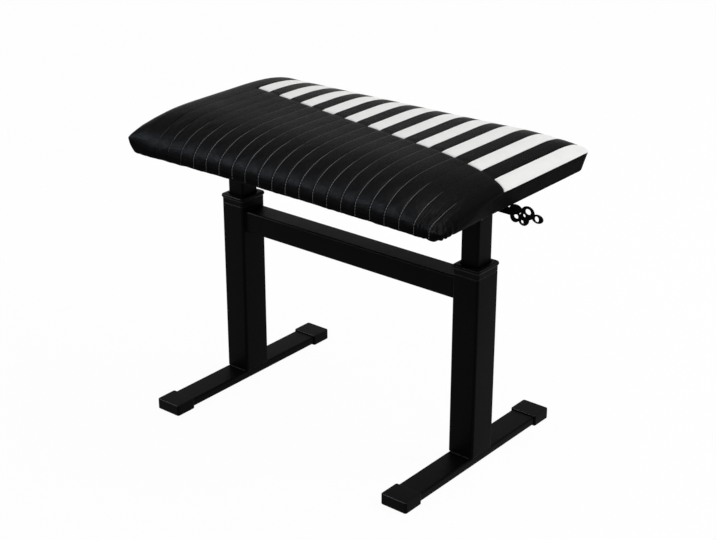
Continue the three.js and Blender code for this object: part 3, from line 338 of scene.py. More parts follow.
    def material(self, finish: Finish) -> bpy.types.Material:
        """Builds a finish's material, or gives the one that is built.

        Args:
            finish: the finish.

        Returns:
            Its material.
        """
        if finish in self.built:
            return self.built[finish]
        material = bpy.data.materials.new(finish.name)
        material.use_nodes = True
        nodes = NodeTree(material.node_tree)
        shader = material.node_tree.nodes["Principled BSDF"]
        shader.inputs["Specular IOR Level"].default_value = finish.specular
        shader.inputs["Metallic"].default_value = finish.metallic
        place = nodes.add("TexCoord").outputs["Object"]
        relief = self._place(nodes, self.groups[finish.relief], place, finish.detail)
        tone = self._place(nodes, self.mottle, place, self.tone_detail)
        low, high = 1.0 - finish.mottle, 1.0 + finish.mottle
        spread = self._ranged(nodes, tone.outputs["Tone"], self.tone_range, (low, high))
        shade = self._ranged(nodes, relief.outputs["Height"], (0.0, 1.0), (low, 1.0))
        scale = nodes.add("VectorMath", operation="SCALE")
        scale.inputs[0].default_value = finish.colour
        nodes.join(nodes.math("MULTIPLY", spread, shade), scale.inputs["Scale"])
        nodes.join(scale.outputs[0], shader.inputs["Base Color"])
        nodes.join(nodes.math("MULTIPLY", spread, finish.roughness), shader.inputs["Roughness"])
        bump = nodes.add("Bump")
        bump.inputs["Distance"].default_value = finish.depth
        nodes.join(relief.outputs["Height"], bump.inputs["Height"])
        nodes.join(bump.outputs["Normal"], shader.inputs["Normal"])
        self.built[finish] = material
        return material


def finished(name: str, bm: bmesh.types.BMesh, material: bpy.types.Material) -> bpy.types.Object:
    """Makes a smooth-shaded object at the origin from a bmesh, and frees the bmesh.

    Args:
        name: the piece's name.
        bm: its mesh, in the row frame.
        material: its material.

    Returns:
        The linked object.
    """
    mesh = bpy.data.meshes.new(name)
    bm.to_mesh(mesh)
    bm.free()
    mesh.materials.append(material)
    for polygon in mesh.polygons:
        polygon.use_smooth = True
    piece = bpy.data.objects.new(name, mesh)
    bpy.context.scene.collection.objects.link(piece)
    return piece


def declared(piece: bpy.types.Object, body: Body, replaced: tuple[str, ...] = ()) -> None:
    """Rides a piece on its body and hides what it stands for.

    Args:
        piece: the finished object.
        body: the CAD body that it moves with.
        replaced: CAD nodes that it stands for.
    """
    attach(piece, body.value)
    if replaced:
        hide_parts(*replaced)
    LOG.info("piece %s on %s", piece.name, body.value)


def applied(piece: bpy.types.Object) -> bpy.types.Mesh:
    """Puts a piece's modified mesh in place of its own, and drops the modifiers."""
    graph = bpy.context.evaluated_depsgraph_get()
    mesh = bpy.data.meshes.new_from_object(piece.evaluated_get(graph), depsgraph=graph)
    piece.modifiers.clear()
    piece.data = mesh
    return mesh


@dataclass
class CushionForm:
    """The cushion's measured shape, in the row frame."""

    left: float
    right: float
    front: float
    rear: float
    bottom: float
    height: float = 0.056
    edge_rise: float = 0.011
    left_rise: float = 0.022
    seam_rise: float = 0.030
    seam_front: float = 0.135
    bow: float = 0.006
    front_corners: tuple[float, float] = (0.004, 0.012)
    rear_corners: tuple[float, float] = (0.034, 0.010)
    front_roll: float = 0.130
    rear_rolls: tuple[float, float] = (0.135, 0.065)
    left_roll: float = 0.040
    right_roll: float = 0.130
    edge_power: float = 2.6
    left_power: float = 3.0
    seam_power: float = 2.0
    first_channel: float = 0.0567
    last_channel: float = 0.0188
    channels: int = 21
    flat_top: float = 0.82
    flat_reach: tuple[float, float] = (0.03, 0.09)
    key_front_left: float = 0.219
    key_front_right: float = 0.138
    length_share: float = 548.0 / 569.0
    depth_share: float = 348.0 / 352.4
    middle_x: float = -0.0105
    middle_y: float = 0.006775

    @classmethod
    def from_frame(cls) -> "CushionForm":
        """Reads the outer box from the CAD cushion.

        Returns:
            The form, with the drawn-in front taken off the box.
        """
        low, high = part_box("seat_cushion")
        return cls(low.x, high.x, low.y + cls.bow, high.y, low.z)

    def channel_x(self, index: int) -> float:
        """The place of a sewn channel, counted from the left."""
        first = self.left + self.first_channel
        last = self.right - self.last_channel
        return first + (last - first) * index / (self.channels - 1)

    def key_front(self, x: np.ndarray) -> np.ndarray:
        """The slanted seam where the front panel meets the keys."""
        first, last = self.channel_x(0), self.channel_x(self.channels - 1)
        slope = (self.key_front_right - self.key_front_left) / (last - first)
        return self.front + self.key_front_left + (x - first) * slope

    def edges(self, x: np.ndarray) -> tuple[np.ndarray, np.ndarray]:
        """Front and rear edges at places along the cushion.

        Args:
            x: places from left to right.

        Returns:
            The front edge's and the rear edge's y.
        """
        reach = np.where(x < self.middle_x, self.left, self.right)
        to_end = np.abs(reach - x)
        bow = self.bow * ((x - self.middle_x) / (reach - self.middle_x)) ** 2
        is_left = x < self.middle_x
        front = self.front - bow + self._inset(to_end, np.where(is_left, *self.front_corners))
        return front, self.rear - self._inset(to_end, np.where(is_left, *self.rear_corners))

    @staticmethod
    def _inset(distance: np.ndarray, radius: np.ndarray) -> np.ndarray:
        """How far a rounded corner takes an edge in."""
        share = np.clip(1.0 - distance / radius, 0.0, 1.0)
        return radius * (1.0 - np.sqrt(1.0 - share**2))

    @staticmethod
    def _roll(inset: np.ndarray, roll: np.ndarray | float, power: float) -> np.ndarray:
        """Share of the crown's rise at a distance in from an edge."""
        return np.sqrt(1.0 - (1.0 - np.clip(inset / roll, 0.0, 1.0)) ** power)

    @staticmethod
    def smooth(value: np.ndarray, low: np.ndarray | float, high: np.ndarray | float) -> np.ndarray:
        """A smooth step from low to high."""
        share = np.clip((value - low) / (high - low), 0.0, 1.0)
        return share * share * (3.0 - 2.0 * share)

    def widest(self, x: np.ndarray, y: np.ndarray) -> np.ndarray:
        """Height above the underside of the widest line round the cushion."""
        front, _ = self.edges(x)
        along = self.smooth(y, front, front + self.seam_front)
        to_right = np.clip((self.right - x) / self.right_roll, 0.0, 1.0)
        share = along * (1.0 - to_right**2)
        right = self.edge_rise + (self.seam_rise - self.edge_rise) * share
        to_left = np.clip((x - self.left) / self.left_roll, 0.0, 1.0)
        return self.left_rise + (right - self.left_rise) * to_left

    def rise(self, x: np.ndarray, y: np.ndarray) -> np.ndarray:
        """Share of the crown's rise that is reached at a place."""
        front, rear = self.edges(x)
        share = (x - self.left) / (self.right - self.left)
        rear_roll = self.rear_rolls[0] + (self.rear_rolls[1] - self.rear_rolls[0]) * share
        return (
            self._roll(y - front, self.front_roll, self.edge_power)
            * self._roll(rear - y, rear_roll, self.edge_power)
            * self._roll(x - self.left, self.left_roll, self.left_power)
            * self._roll(self.right - x, self.right_roll, self.seam_power)
        )

    def fullness(self, x: np.ndarray, y: np.ndarray) -> np.ndarray:
        """How deep the channels show: fully on the front roll, faintly over the flat top."""
        front, _ = self.edges(x)
        start, stop = self.flat_reach
        return 1.0 - self.flat_top * self.smooth(y, front + start, front + stop)

    def crown(self, x: np.ndarray, y: np.ndarray) -> np.ndarray:
        """Height of the upper side at a place, without channels."""
        widest = self.widest(x, y)
        return self.bottom + widest + (self.height - widest) * self.rise(x, y)


@dataclass
class Cushion:
    """The upholstered seat: cover with channels and boxing, key panels, stitches and dust cover."""

    form: CushionForm
    kit: ShaderKit
    end_left: tuple[float, ...] = (0.0, 0.0006, 0.002, 0.0045, 0.008, 0.013, 0.019, 0.026, 0.034, 0.042, 0.050)
    end_right: tuple[float, ...] = (0.0016, 0.0042, 0.0075, 0.011, 0.0142, 0.0166, 0.0181, 0.0188)
    between: tuple[float, ...] = (0.0016, 0.0042, 0.0082, 0.01233, 0.0165, 0.0205, 0.0231)
    roll_rows: tuple[float, ...] = (0.0, 0.0004, 0.0012, 0.0026, 0.0046, 0.0072, 0.0104, 0.0142, 0.0186, 0.0236,
                                    0.0292, 0.0354, 0.042, 0.049, 0.056, 0.064)
    front_rows: int = 18
    rear_rows: int = 14
    row_gap: float = 0.01
    side_rings: tuple[float, ...] = (0.02, 0.12, 0.3, 0.5, 0.7, 0.86, 0.96, 1.0)
    pillow: float = 0.0006
    groove: float = 0.0008
    groove_width: float = 0.0011
    slack: float = 0.0006
    slack_scale: tuple[float, float, float] = (62.0, 34.0, 48.0)
    slack_fractal: tuple[float, float, int] = (0.7, 2.0, 3)
    boxing_start: float = 0.01
    boxing_end: float = 1.5
    hem: float = 0.018
    hem_ring: float = 2.0
    pocket_ring: float = 3.0
    pocket: float = 0.0137
    dip_onset: float = 2.0
    tuck_start: float = 0.016
    tuck_blend: float = 0.012
    tuck_power: float = 2.2
    channel_end: float = 1.2
    seam_depth: float = 0.0008
    seam_width: float = 0.6
    seam_start: float = 0.001
    seam_slack: float = 0.25
    key_count: int = 11
    panel_lift: float = 0.0009
    panel_thickness: float = 0.0008
    swell: float = 0.0012
    held_width: float = 0.001
    held_ends: float = 0.002
    cloth_quality: int = 5
    cloth_stretch: float = 60.0
    cloth_bending: float = 8.0
    cloth_pressure: float = 4.0
    cloth_frames: int = 20
    gather_depth: tuple[float, float, float, float] = (0.0004, 0.0026, 0.0004, 0.0004)
    gather_reach: float = 0.036
    gather_count: int = 26
    gather_uneven: tuple[float, float, float, float] = (0.35, 7.0, 40.0, 6.0)
    gather_falloff: float = 1.6
    gather_end: float = 1.6
    pleat_depth: float = 0.0011
    pleat_pitch: float = 0.0056
    pleat_middle: tuple[float, float] = (0.024, 0.023)
    pleat_reach: tuple[float, float] = (0.017, 0.012)
    pleat_columns: int = 11
    pleat_wander: tuple[float, float, float] = (0.9, 190.0, 60.0)
    pleat_power: float = 1.5
    pleat_front: float = 0.06
    stitch_length: float = 0.0036
    stitch_pitch: float = 0.0041
    stitch_radius: float = 0.00045
    stitch_sink: float = 1.9
    stitch_faces: tuple[int, int] = (8, 5)
    stitch_fade: tuple[float, float] = (0.55, 0.3)
    stitch_fade_right: tuple[float, float] = (0.09, 0.04)
    stitch_fade_front: tuple[float, float] = (0.02, 0.08)
    stitch_left: float = 0.4
    stitch_left_reach: tuple[float, float] = (0.05, 0.18)
    stitch_low: float = 0.6
    stitch_low_reach: float = 0.009
    probe_reach: float = 0.3
    probe_step: float = 0.002
    probe_height: float = 0.1
    shortest: float = 1e-6
    steep: float = 0.9
    dust_cells: tuple[int, int] = (60, 36)
    dust_sag: float = 0.0006
    dust_sag_onset: float = 6.0
    dust_gap: float = 0.0002
    dust_thickness: float = 0.0004
    cover: bpy.types.Object | None = field(default=None)

    def columns(self) -> np.ndarray:
        """Places of the mesh's columns, dense beside each channel and at both ends."""
        form = self.form
        places = [form.left + offset for offset in self.end_left]
        for index in range(form.channels):
            places.append(form.channel_x(index))
            if index < form.channels - 2:
                places += [form.channel_x(index) + offset for offset in self.between]
            elif index < form.channels - 1:
                between = np.linspace(form.channel_x(index), form.channel_x(index + 1), self.pleat_columns + 2)
                places += between[1:-1].tolist()
        places += [form.channel_x(form.channels - 1) + offset for offset in self.end_right]
        return np.array(places)

    def rows(self, x: np.ndarray) -> np.ndarray:
        """Places of the mesh's rows in each column: both rolls and the slanted key seam are followed.

        Args:
            x: the columns' places.

        Returns:
            An array of columns by rows with y.
        """
        front, rear = self.form.edges(x)
        seam = np.clip(self.form.key_front(x), front + self.roll_rows[-1] + self.row_gap,
                       rear - self.roll_rows[-1] - self.row_gap)
        roll = np.array(self.roll_rows)
        near = front[:, None] + roll[None, :]
        to_seam = np.linspace(0.0, 1.0, self.front_rows + 1)[1:]
        middle = near[:, -1:] + (seam[:, None] - near[:, -1:]) * to_seam[None, :]
        far = rear[:, None] - roll[::-1][None, :]
        to_far = np.linspace(0.0, 1.0, self.rear_rows + 1)[1:-1]
        behind = seam[:, None] + (far[:, :1] - seam[:, None]) * to_far[None, :]
        return np.concatenate([near, middle, behind, far], axis=1)

    @property
    def seam_row(self) -> int:
        """The row that lies on the slanted key seam."""
        return len(self.roll_rows) + self.front_rows - 1

    def _channel_distance(self, x: np.ndarray) -> np.ndarray:
        """Distance from places to the nearest sewn channel."""
        lines = np.array([self.form.channel_x(index) for index in range(self.form.channels)])
        return np.abs(x[:, None] - lines[None, :]).min(axis=1)

    def shell(self) -> bmesh.types.BMesh:
        """The closed cover before it swells: crown, sides, hem and the pocket for the board.

        Returns:
            A bmesh whose layers hold each point's place across, along and down the side.
        """
        x = self.columns()
        y = self.rows(x)
        bm = bmesh.new()
        across = bm.verts.layers.float.new("across")
        along = bm.verts.layers.float.new("along")
        down = bm.verts.layers.float.new("down")
        station = bm.verts.layers.int.new("station")
        bmesh.ops.create_grid(bm, x_segments=len(x) - 1, y_segments=y.shape[1] - 1, size=1.0)
        half = np.array([len(x) - 1, y.shape[1] - 1]) / 2.0
        bm.verts.ensure_lookup_table()
        places = np.array([vert.co[:2] for vert in bm.verts])
        spots = np.rint((places + 1.0) * half).astype(int)
        gx, gy = x[spots[:, 0]], y[spots[:, 0], spots[:, 1]]
        half_pitch = (self.form.channel_x(1) - self.form.channel_x(0)) / 2.0
        sag = np.cos(np.clip(self._channel_distance(gx) / half_pitch, 0.0, 1.0) * math.pi / 2.0) ** 2
        dip = self.pillow * sag * self.form.fullness(gx, gy)
        gz = self.form.crown(gx, gy) - dip * np.clip(self.form.rise(gx, gy) * self.dip_onset, 0.0, 1.0)
        for vert, px, py, pz, spot in zip(bm.verts, gx, gy, gz, spots):
            vert.co = (px, py, pz)
            vert[across] = px
            vert[along] = spot[1]
        rim = [edge for edge in bm.edges if edge.is_boundary]
        for index, vert in enumerate({v for edge in rim for v in edge.verts}):
            vert[station] = index + 1
        start = {vert[station]: vert.co.copy() for edge in rim for vert in edge.verts}
        for ring in (*self.side_rings, self.hem_ring, self.pocket_ring):
            rim = self._extruded(bm, rim)
            for vert in {v for edge in rim for v in edge.verts}:
                vert.co = self._ring_point(start[vert[station]], ring)
                vert[down] = ring
        bmesh.ops.recalc_face_normals(bm, faces=bm.faces[:])
        return bm

    @staticmethod
    def _extruded(bm: bmesh.types.BMesh, rim: list[bmesh.types.BMEdge]) -> list[bmesh.types.BMEdge]:
        """Extrudes the open rim once and gives the new rim's edges."""
        made = bmesh.ops.extrude_edge_only(bm, edges=rim)["geom"]
        return [item for item in made if isinstance(item, bmesh.types.BMEdge) and item.is_boundary]

    def _ring_point(self, point: Vector, ring: float) -> Vector:
        """Where a ring of the cover lies: on the side up to 1, then at the hem's end and in the pocket."""
        if ring == self.hem_ring:
            return self._hem_point(point, self.form.bottom)
        if ring == self.pocket_ring:
            return self._hem_point(point, self.form.bottom + self.pocket)
        return self._side(point, ring)

    def _base_point(self, point: Vector) -> tuple[float, float]:
        """Where the side from a point of the widest line meets the underside."""
        form = self.form
        base_x = (point.x - form.left) * form.length_share - (form.right - form.left) * form.length_share / 2.0
        base_x += form.middle_x
        return base_x, form.middle_y + (point.y - form.middle_y) * form.depth_share

    def _side(self, point: Vector, share: float) -> Vector:
        """A point of the cushion's side, a share of the way down from the widest line."""
        base_x, base_y = self._base_point(point)
        flat = float(np.clip((point.z - self.form.bottom - self.tuck_start) / self.tuck_blend, 0.0, 1.0))
        tuck = flat * share + (1.0 - flat) * (1.0 - math.sqrt(1.0 - share**self.tuck_power))
        z = point.z + (self.form.bottom - point.z) * share
        return Vector((point.x + (base_x - point.x) * tuck, point.y + (base_y - point.y) * tuck, z))

    def _hem_point(self, point: Vector, z: float) -> Vector:
        """Where the cover's turned-in hem ends, on the underside."""
        base_x, base_y = self._base_point(point)
        form = self.form
        half_x = (form.right - form.left) * form.length_share / 2.0
        half_y = (form.rear - form.front) * form.depth_share / 2.0
        share_x = (half_x - self.hem) / half_x
        share_y = (half_y - self.hem) / half_y
        return Vector((form.middle_x + (base_x - form.middle_x) * share_x,
                       form.middle_y + (base_y - form.middle_y) * share_y, z))

    def build(self) -> None:
        """Makes the cover, the key panels, the stitches and the dust cover."""
        shell = self.shell()
        cover = finished("cushion_cover", shell, self.kit.material(BLACK_VINYL))
        self._inflate(cover)
        self._subdivide(cover)
        self._close_pocket(cover)
        self._carve(cover)
        # The boxing faces take the darker copy of the vinyl: painted shade on the side below the crown.
        cover.data.materials.append(self.kit.material(SHADED_BOXING_VINYL))
        down = self._layer(cover.data, "down")
        for polygon in cover.data.polygons:
            lowest = min(down[index] for index in polygon.vertices)
            polygon.material_index = 1 if self.boxing_start < lowest < self.boxing_end else 0
        self.cover = cover
        self.panels()
        self.stitches()
        declared(cover, Body.SEAT, ("seat_cushion",))
        self.dust_cover()

    @staticmethod
    def _layer(mesh: bpy.types.Mesh, name: str) -> np.ndarray:
        """Reads one float layer of a mesh's points."""
        values = np.zeros(len(mesh.vertices))
        mesh.attributes[name].data.foreach_get("value", values)
        return values

    @staticmethod
    def _points(mesh: bpy.types.Mesh, kind: str = "co") -> np.ndarray:
        """Reads a mesh's points, or their normals with kind normal, as rows of three."""
        values = np.zeros(len(mesh.vertices) * 3)
        mesh.vertices.foreach_get(kind, values)
        return values.reshape(-1, 3)

    def _inflate(self, piece: bpy.types.Object) -> None:
        """Swells the cover between its sewn lines with the cloth solver.

        Args:
            piece: the cover, which is held at its channels, sides and hem.
        """
        mesh = piece.data
        start = self._points(mesh)
        across, down = self._layer(mesh, "across"), self._layer(mesh, "down")
        held = (self._channel_distance(across) < self.held_width) | (down > self.boxing_start)
        form = self.form
        held |= (start[:, 0] < form.left + self.held_ends) | (start[:, 0] > form.right - self.held_ends)
        group = piece.vertex_groups.new(name="held")
        group.add(np.flatnonzero(held).tolist(), 1.0, "REPLACE")
        cloth = piece.modifiers.new("stuffing", "CLOTH")
        settings = cloth.settings
        settings.quality = self.cloth_quality
        settings.tension_stiffness = self.cloth_stretch
        settings.compression_stiffness = self.cloth_stretch
        settings.bending_stiffness = self.cloth_bending
        settings.use_pressure = True
        settings.uniform_pressure_force = self.cloth_pressure
        settings.vertex_group_mass = group.name
        settings.effector_weights.gravity = 0.0
        cloth.collision_settings.use_collision = False
        scene = bpy.context.scene
        for frame in range(1, self.cloth_frames + 1):
            scene.frame_set(frame)
        graph = bpy.context.evaluated_depsgraph_get()
        move = self._points(piece.evaluated_get(graph).data) - start
        piece.modifiers.clear()
        piece.vertex_groups.clear()
        scene.frame_set(1)
        length = np.maximum(np.linalg.norm(move, axis=1), 1e-9)
        cap = self.swell * form.fullness(start[:, 0], start[:, 1])
        end = start + move * (cap * np.tanh(length / cap) / length)[:, None]
        mesh.vertices.foreach_set("co", end.ravel())
        mesh.update()
        LOG.info("cover swelled by %.2f mm at most", 1000.0 * float(np.linalg.norm(end - start, axis=1).max()))

    def _subdivide(self, piece: bpy.types.Object) -> None:
        """Smooths a piece by one subdivision and applies it."""
        modifier = piece.modifiers.new("smooth", "SUBSURF")
        modifier.levels = 1
        modifier.render_levels = 1
        applied(piece)

    @staticmethod
    def _close_pocket(piece: bpy.types.Object) -> None:
        """Closes the pocket's top, after the subdivision, which one wide face would slow down."""
        bm = bmesh.new()
        bm.from_mesh(piece.data)
        rim = [edge for edge in bm.edges if edge.is_boundary]
        made = bmesh.ops.contextual_create(bm, geom=rim)["faces"]
        bmesh.ops.triangulate(bm, faces=made)
        bmesh.ops.recalc_face_normals(bm, faces=bm.faces[:])
        bm.to_mesh(piece.data)
        bm.free()

    def _carve(self, piece: bpy.types.Object) -> None:
        """Presses the sewn channels, the seams and the corner gathers into the cover."""
        mesh = piece.data
        points, normals = self._points(mesh), self._points(mesh, "normal")
        across, along, down = (self._layer(mesh, name) for name in ("across", "along", "down"))
        line = np.exp(-((self._channel_distance(across) / self.groove_width) ** 2))
        deep = self.form.fullness(points[:, 0], points[:, 1])
        depth = self.groove * line * deep * np.clip(self.channel_end - down, 0.0, 1.0)
        seam = np.exp(-(((along - self.seam_row) / self.seam_width) ** 2)) * (down < self.boxing_start)
        depth += self.seam_depth * seam * (across > self.form.channel_x(0) - self.seam_start)
        depth += self._gathers(points, down) + self._pleats(points, down)
        depth += self._slackness(points) * deep * (down < self.boxing_end)
        points -= normals * depth[:, None]
        mesh.vertices.foreach_set("co", points.ravel())
        mesh.update()

    def _slackness(self, points: np.ndarray) -> np.ndarray:
        """Broad shallow dimples of a cover that is not drawn evenly tight, as depths at its points."""
        scale = self.slack_scale
        spots = (Vector((x * scale[0], y * scale[1], z * scale[2])) for x, y, z in points)
        return self.slack * np.array([noise.fractal(spot, *self.slack_fractal) for spot in spots])

    def _pleats(self, points: np.ndarray, down: np.ndarray) -> np.ndarray:
        """Short pleats beside the last channels, where the front right corner is drawn tight.

        Args:
            points: the cover's points.
            down: how far down the side each of them is.

        Returns:
            How far in each point goes.
        """
        form = self.form
        front, _ = form.edges(points[:, 0])
        most, per_height, per_length = self.pleat_wander
        wander = most * np.sin(points[:, 2] * per_height + points[:, 0] * per_length)
        fold = 0.5 + 0.5 * np.cos((form.right - points[:, 0]) / self.pleat_pitch * math.tau + wander)
        aside = (form.right - points[:, 0] - self.pleat_middle[0]) / self.pleat_reach[0]
        above = (points[:, 2] - form.bottom - self.pleat_middle[1]) / self.pleat_reach[1]
        near = (points[:, 1] < front + self.pleat_front) & (down < self.boxing_end)
        return self.pleat_depth * fold**self.pleat_power * np.exp(-(aside**2) - above**2) * near

    def _gathers(self, points: np.ndarray, down: np.ndarray) -> np.ndarray:
        """Small pleats where the cover is drawn round each corner.

        Args:
            points: the cover's points.
            down: how far down the side each of them is.

        Returns:
            How far in each point goes.
        """
        form = self.form
        total = np.zeros(len(points))
        most, turns, per_length, effect = self.gather_uneven
        corners = [(x, y) for y in (form.front, form.rear) for x in (form.left, form.right)]
        for depth, (x, y) in zip(self.gather_depth, corners):
            inward = np.array([math.copysign(1.0, form.middle_x - x), math.copysign(1.0, form.middle_y - y)])
            centre = np.array([x, y]) + inward * self.gather_reach
            away = points[:, :2] - centre
            angle = np.arctan2(away[:, 1], away[:, 0])
            near = np.hypot(points[:, 0] - x, points[:, 1] - y) / self.gather_reach
            uneven = most * np.sin(angle * turns + x * per_length)
            fold = 0.5 + 0.5 * np.cos(angle * self.gather_count + uneven * effect)
            fade = np.exp(-(near**2) * self.gather_falloff)
            total += depth * fold**2 * fade * np.clip(self.gather_end - down, 0.0, 1.0)
        return total

    def panels(self) -> None:
        """Cuts the white key panels out of the cover and lets the cover down beneath them."""
        source = bmesh.new()
        source.from_mesh(self.cover.data)
        key = source.faces.layers.int.new("key")
        self._mark_keys(source, key)
        for index in range(self.key_count):
            copy = source.copy()
            layer = copy.faces.layers.int["key"]
            outside = [face for face in copy.faces if face[layer] != index + 1]
            bmesh.ops.delete(copy, geom=outside, context="FACES")
            bmesh.ops.recalc_face_normals(copy, faces=copy.faces[:])
            if sum(face.normal.z for face in copy.faces) < 0:
                bmesh.ops.reverse_faces(copy, faces=copy.faces[:])
            bmesh.ops.solidify(copy, geom=copy.faces[:], thickness=self.panel_thickness)
            panel = finished(f"key_panel_{index + 1:02d}", copy, self.kit.material(WHITE_VINYL))
            declared(panel, Body.SEAT, (f"white_key_{index + 1:02d}",))
        beneath = {vert for face in source.faces if face[key] for vert in face.verts}
        for vert in beneath:
            vert.co -= vert.normal * self.panel_lift
        source.to_mesh(self.cover.data)
        source.free()

    def _mark_keys(self, bm: bmesh.types.BMesh, key: bmesh.types.BMLayerItem) -> None:
        """Numbers the cover's faces that belong to a white key.

        Args:
            bm: the cover.
            key: the face layer that takes the key's number, from 1.
        """
        across = bm.verts.layers.float["across"]
        along = bm.verts.layers.float["along"]
        down = bm.verts.layers.float["down"]
        first = self.form.channel_x(0)
        pitch = self.form.channel_x(1) - first
        last = 2 * (self.key_count - 1)
        for face in bm.faces:
            places = [vert[across] for vert in face.verts]
            channel = math.floor((sum(places) / len(places) - first) / pitch)
            if min(vert[along] for vert in face.verts) < self.seam_row - self.seam_slack or channel < 0:
                continue
            on_top = max(vert[down] for vert in face.verts) < self.boxing_start
            if on_top and (channel >= last or channel % 2 == 0):
                face[key] = min(channel, last) // 2 + 1

    def stitches(self) -> None:
        """Lays a row of thread stitches in each channel of the front panel."""
        seen = bmesh.new()
        seen.from_mesh(self.cover.data)
        tree = BVHTree.FromBMesh(seen)
        seen.free()
        bm = bmesh.new()
        row = bpy.data.meshes.new("stitch row")
        for index in range(self.form.channels):
            self._stitch_row(self._channel_path(tree, self.form.channel_x(index))).to_mesh(row)
            bm.from_mesh(row)
        piece = finished("channel_stitches", bm, self.kit.material(THREAD))
        declared(piece, Body.SEAT)

    def _stitch_row(self, path: list[tuple[Vector, Vector, Vector]]) -> bmesh.types.BMesh:
        """One channel's stitches.

        Args:
            path: for each stitch its middle, its direction and the way out of the cover.

        Returns:
            A bmesh of small capsules.
        """
        bm = bmesh.new()
        around, ends = self.stitch_faces
        for place, along, outward in path:
            side = along.cross(outward).normalized()
            turn = Matrix((along, side, outward)).transposed().to_4x4()
            radius = self.stitch_radius * self._stitch_share(place)
            size = Matrix.Diagonal((self.stitch_length / 2.0, radius, radius, 1.0))
            centre = Matrix.Translation(place + outward * (radius * self.stitch_sink - self.stitch_radius))
            bmesh.ops.create_uvsphere(bm, u_segments=around, v_segments=ends, radius=1.0,
                                      matrix=centre @ turn @ size)
        return bm

    def _stitch_share(self, place: Vector) -> float:
        """How full a stitch stands out: less over the top, at the left end and near the underside."""
        form = self.form
        x, y = np.array([place.x]), np.array([place.y])
        front, _ = form.edges(x)

        def step(value: np.ndarray, edge: float | np.ndarray, reach: tuple[float, float]) -> float:
            """A smooth step between two distances from an edge."""
            return float(form.smooth(value, edge + reach[0], edge + reach[1])[0])

        right = (-self.stitch_fade_right[0], -self.stitch_fade_right[1])
        fade = self.stitch_fade[0] + self.stitch_fade[1] * step(x, form.right, right)
        over = 1.0 - fade * step(y, front, self.stitch_fade_front)
        left = self.stitch_left + (1.0 - self.stitch_left) * step(x, form.left, self.stitch_left_reach)
        height = (place.z - form.bottom - form.edge_rise) / self.stitch_low_reach
        low = self.stitch_low + (1.0 - self.stitch_low) * min(max(height, 0.0), 1.0)
        return over * left * low

    def _channel_path(self, tree: BVHTree, x: float) -> list[tuple[Vector, Vector, Vector]]:
        """Stitch places along one channel.

        Args:
            tree: the cover's faces.
            x: the channel's place.

        Returns:
            For each stitch its middle, its direction and the way out of the cover.
        """
        form = self.form
        front, _ = form.edges(np.array([x]))
        stop = float(form.key_front(np.array([x]))[0])
        samples = []
        start = Vector((x, float(front[0]) + form.front_roll, form.bottom))
        for degrees in range(91):
            angle = math.radians(degrees)
            direction = Vector((0.0, -math.cos(angle), math.sin(angle)))
            hit = tree.ray_cast(start + direction * self.probe_reach, -direction, self.probe_reach * 2)[0]
            if hit is not None:
                samples.append(hit)
        y = start.y
        while y < stop:
            y += self.probe_step
            above = Vector((x, y, form.bottom + self.probe_height))
            hit = tree.ray_cast(above, Vector((0, 0, -1)), self.probe_height * 2)[0]
            if hit is not None:
                samples.append(hit)
        path = []
        run = self.stitch_pitch * 0.5
        for first, second in zip(samples, samples[1:]):
            length = (second - first).length
            if length < self.shortest:
                continue
            direction = (second - first) / length
            while run < length:
                middle = first + direction * run
                outward = Vector((1, 0, 0)).cross(direction)
                if outward.z < 0 and abs(direction.z) < self.steep:
                    outward.negate()
                if direction.z > self.steep:
                    outward = Vector((0, -direction.z, direction.y))
                path.append((middle, direction, outward.normalized()))
                run += self.stitch_pitch
            run -= length
        return path

    def dust_cover(self) -> None:
        """The thin cloth stretched under the board."""
        low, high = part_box("dust_cover")
        bm = bmesh.new()
        bmesh.ops.create_grid(bm, x_segments=self.dust_cells[0], y_segments=self.dust_cells[1], size=0.5)
        width, depth = high.x - low.x, high.y - low.y
        for vert in bm.verts:
            edge = min(0.5 - abs(vert.co.x), 0.5 - abs(vert.co.y)) * 2.0
            sag = self.dust_sag * min(edge * self.dust_sag_onset, 1.0)
            vert.co = ((low.x + high.x) / 2 + vert.co.x * width, (low.y + high.y) / 2 + vert.co.y * depth,
                       high.z - self.dust_gap - sag)
        bmesh.ops.recalc_face_normals(bm, faces=bm.faces[:])
        bmesh.ops.solidify(bm, geom=bm.faces[:], thickness=self.dust_thickness)
        piece = finished("dust_cloth", bm, self.kit.material(DUST_CLOTH))
        declared(piece, Body.SEAT, ("dust_cover",))


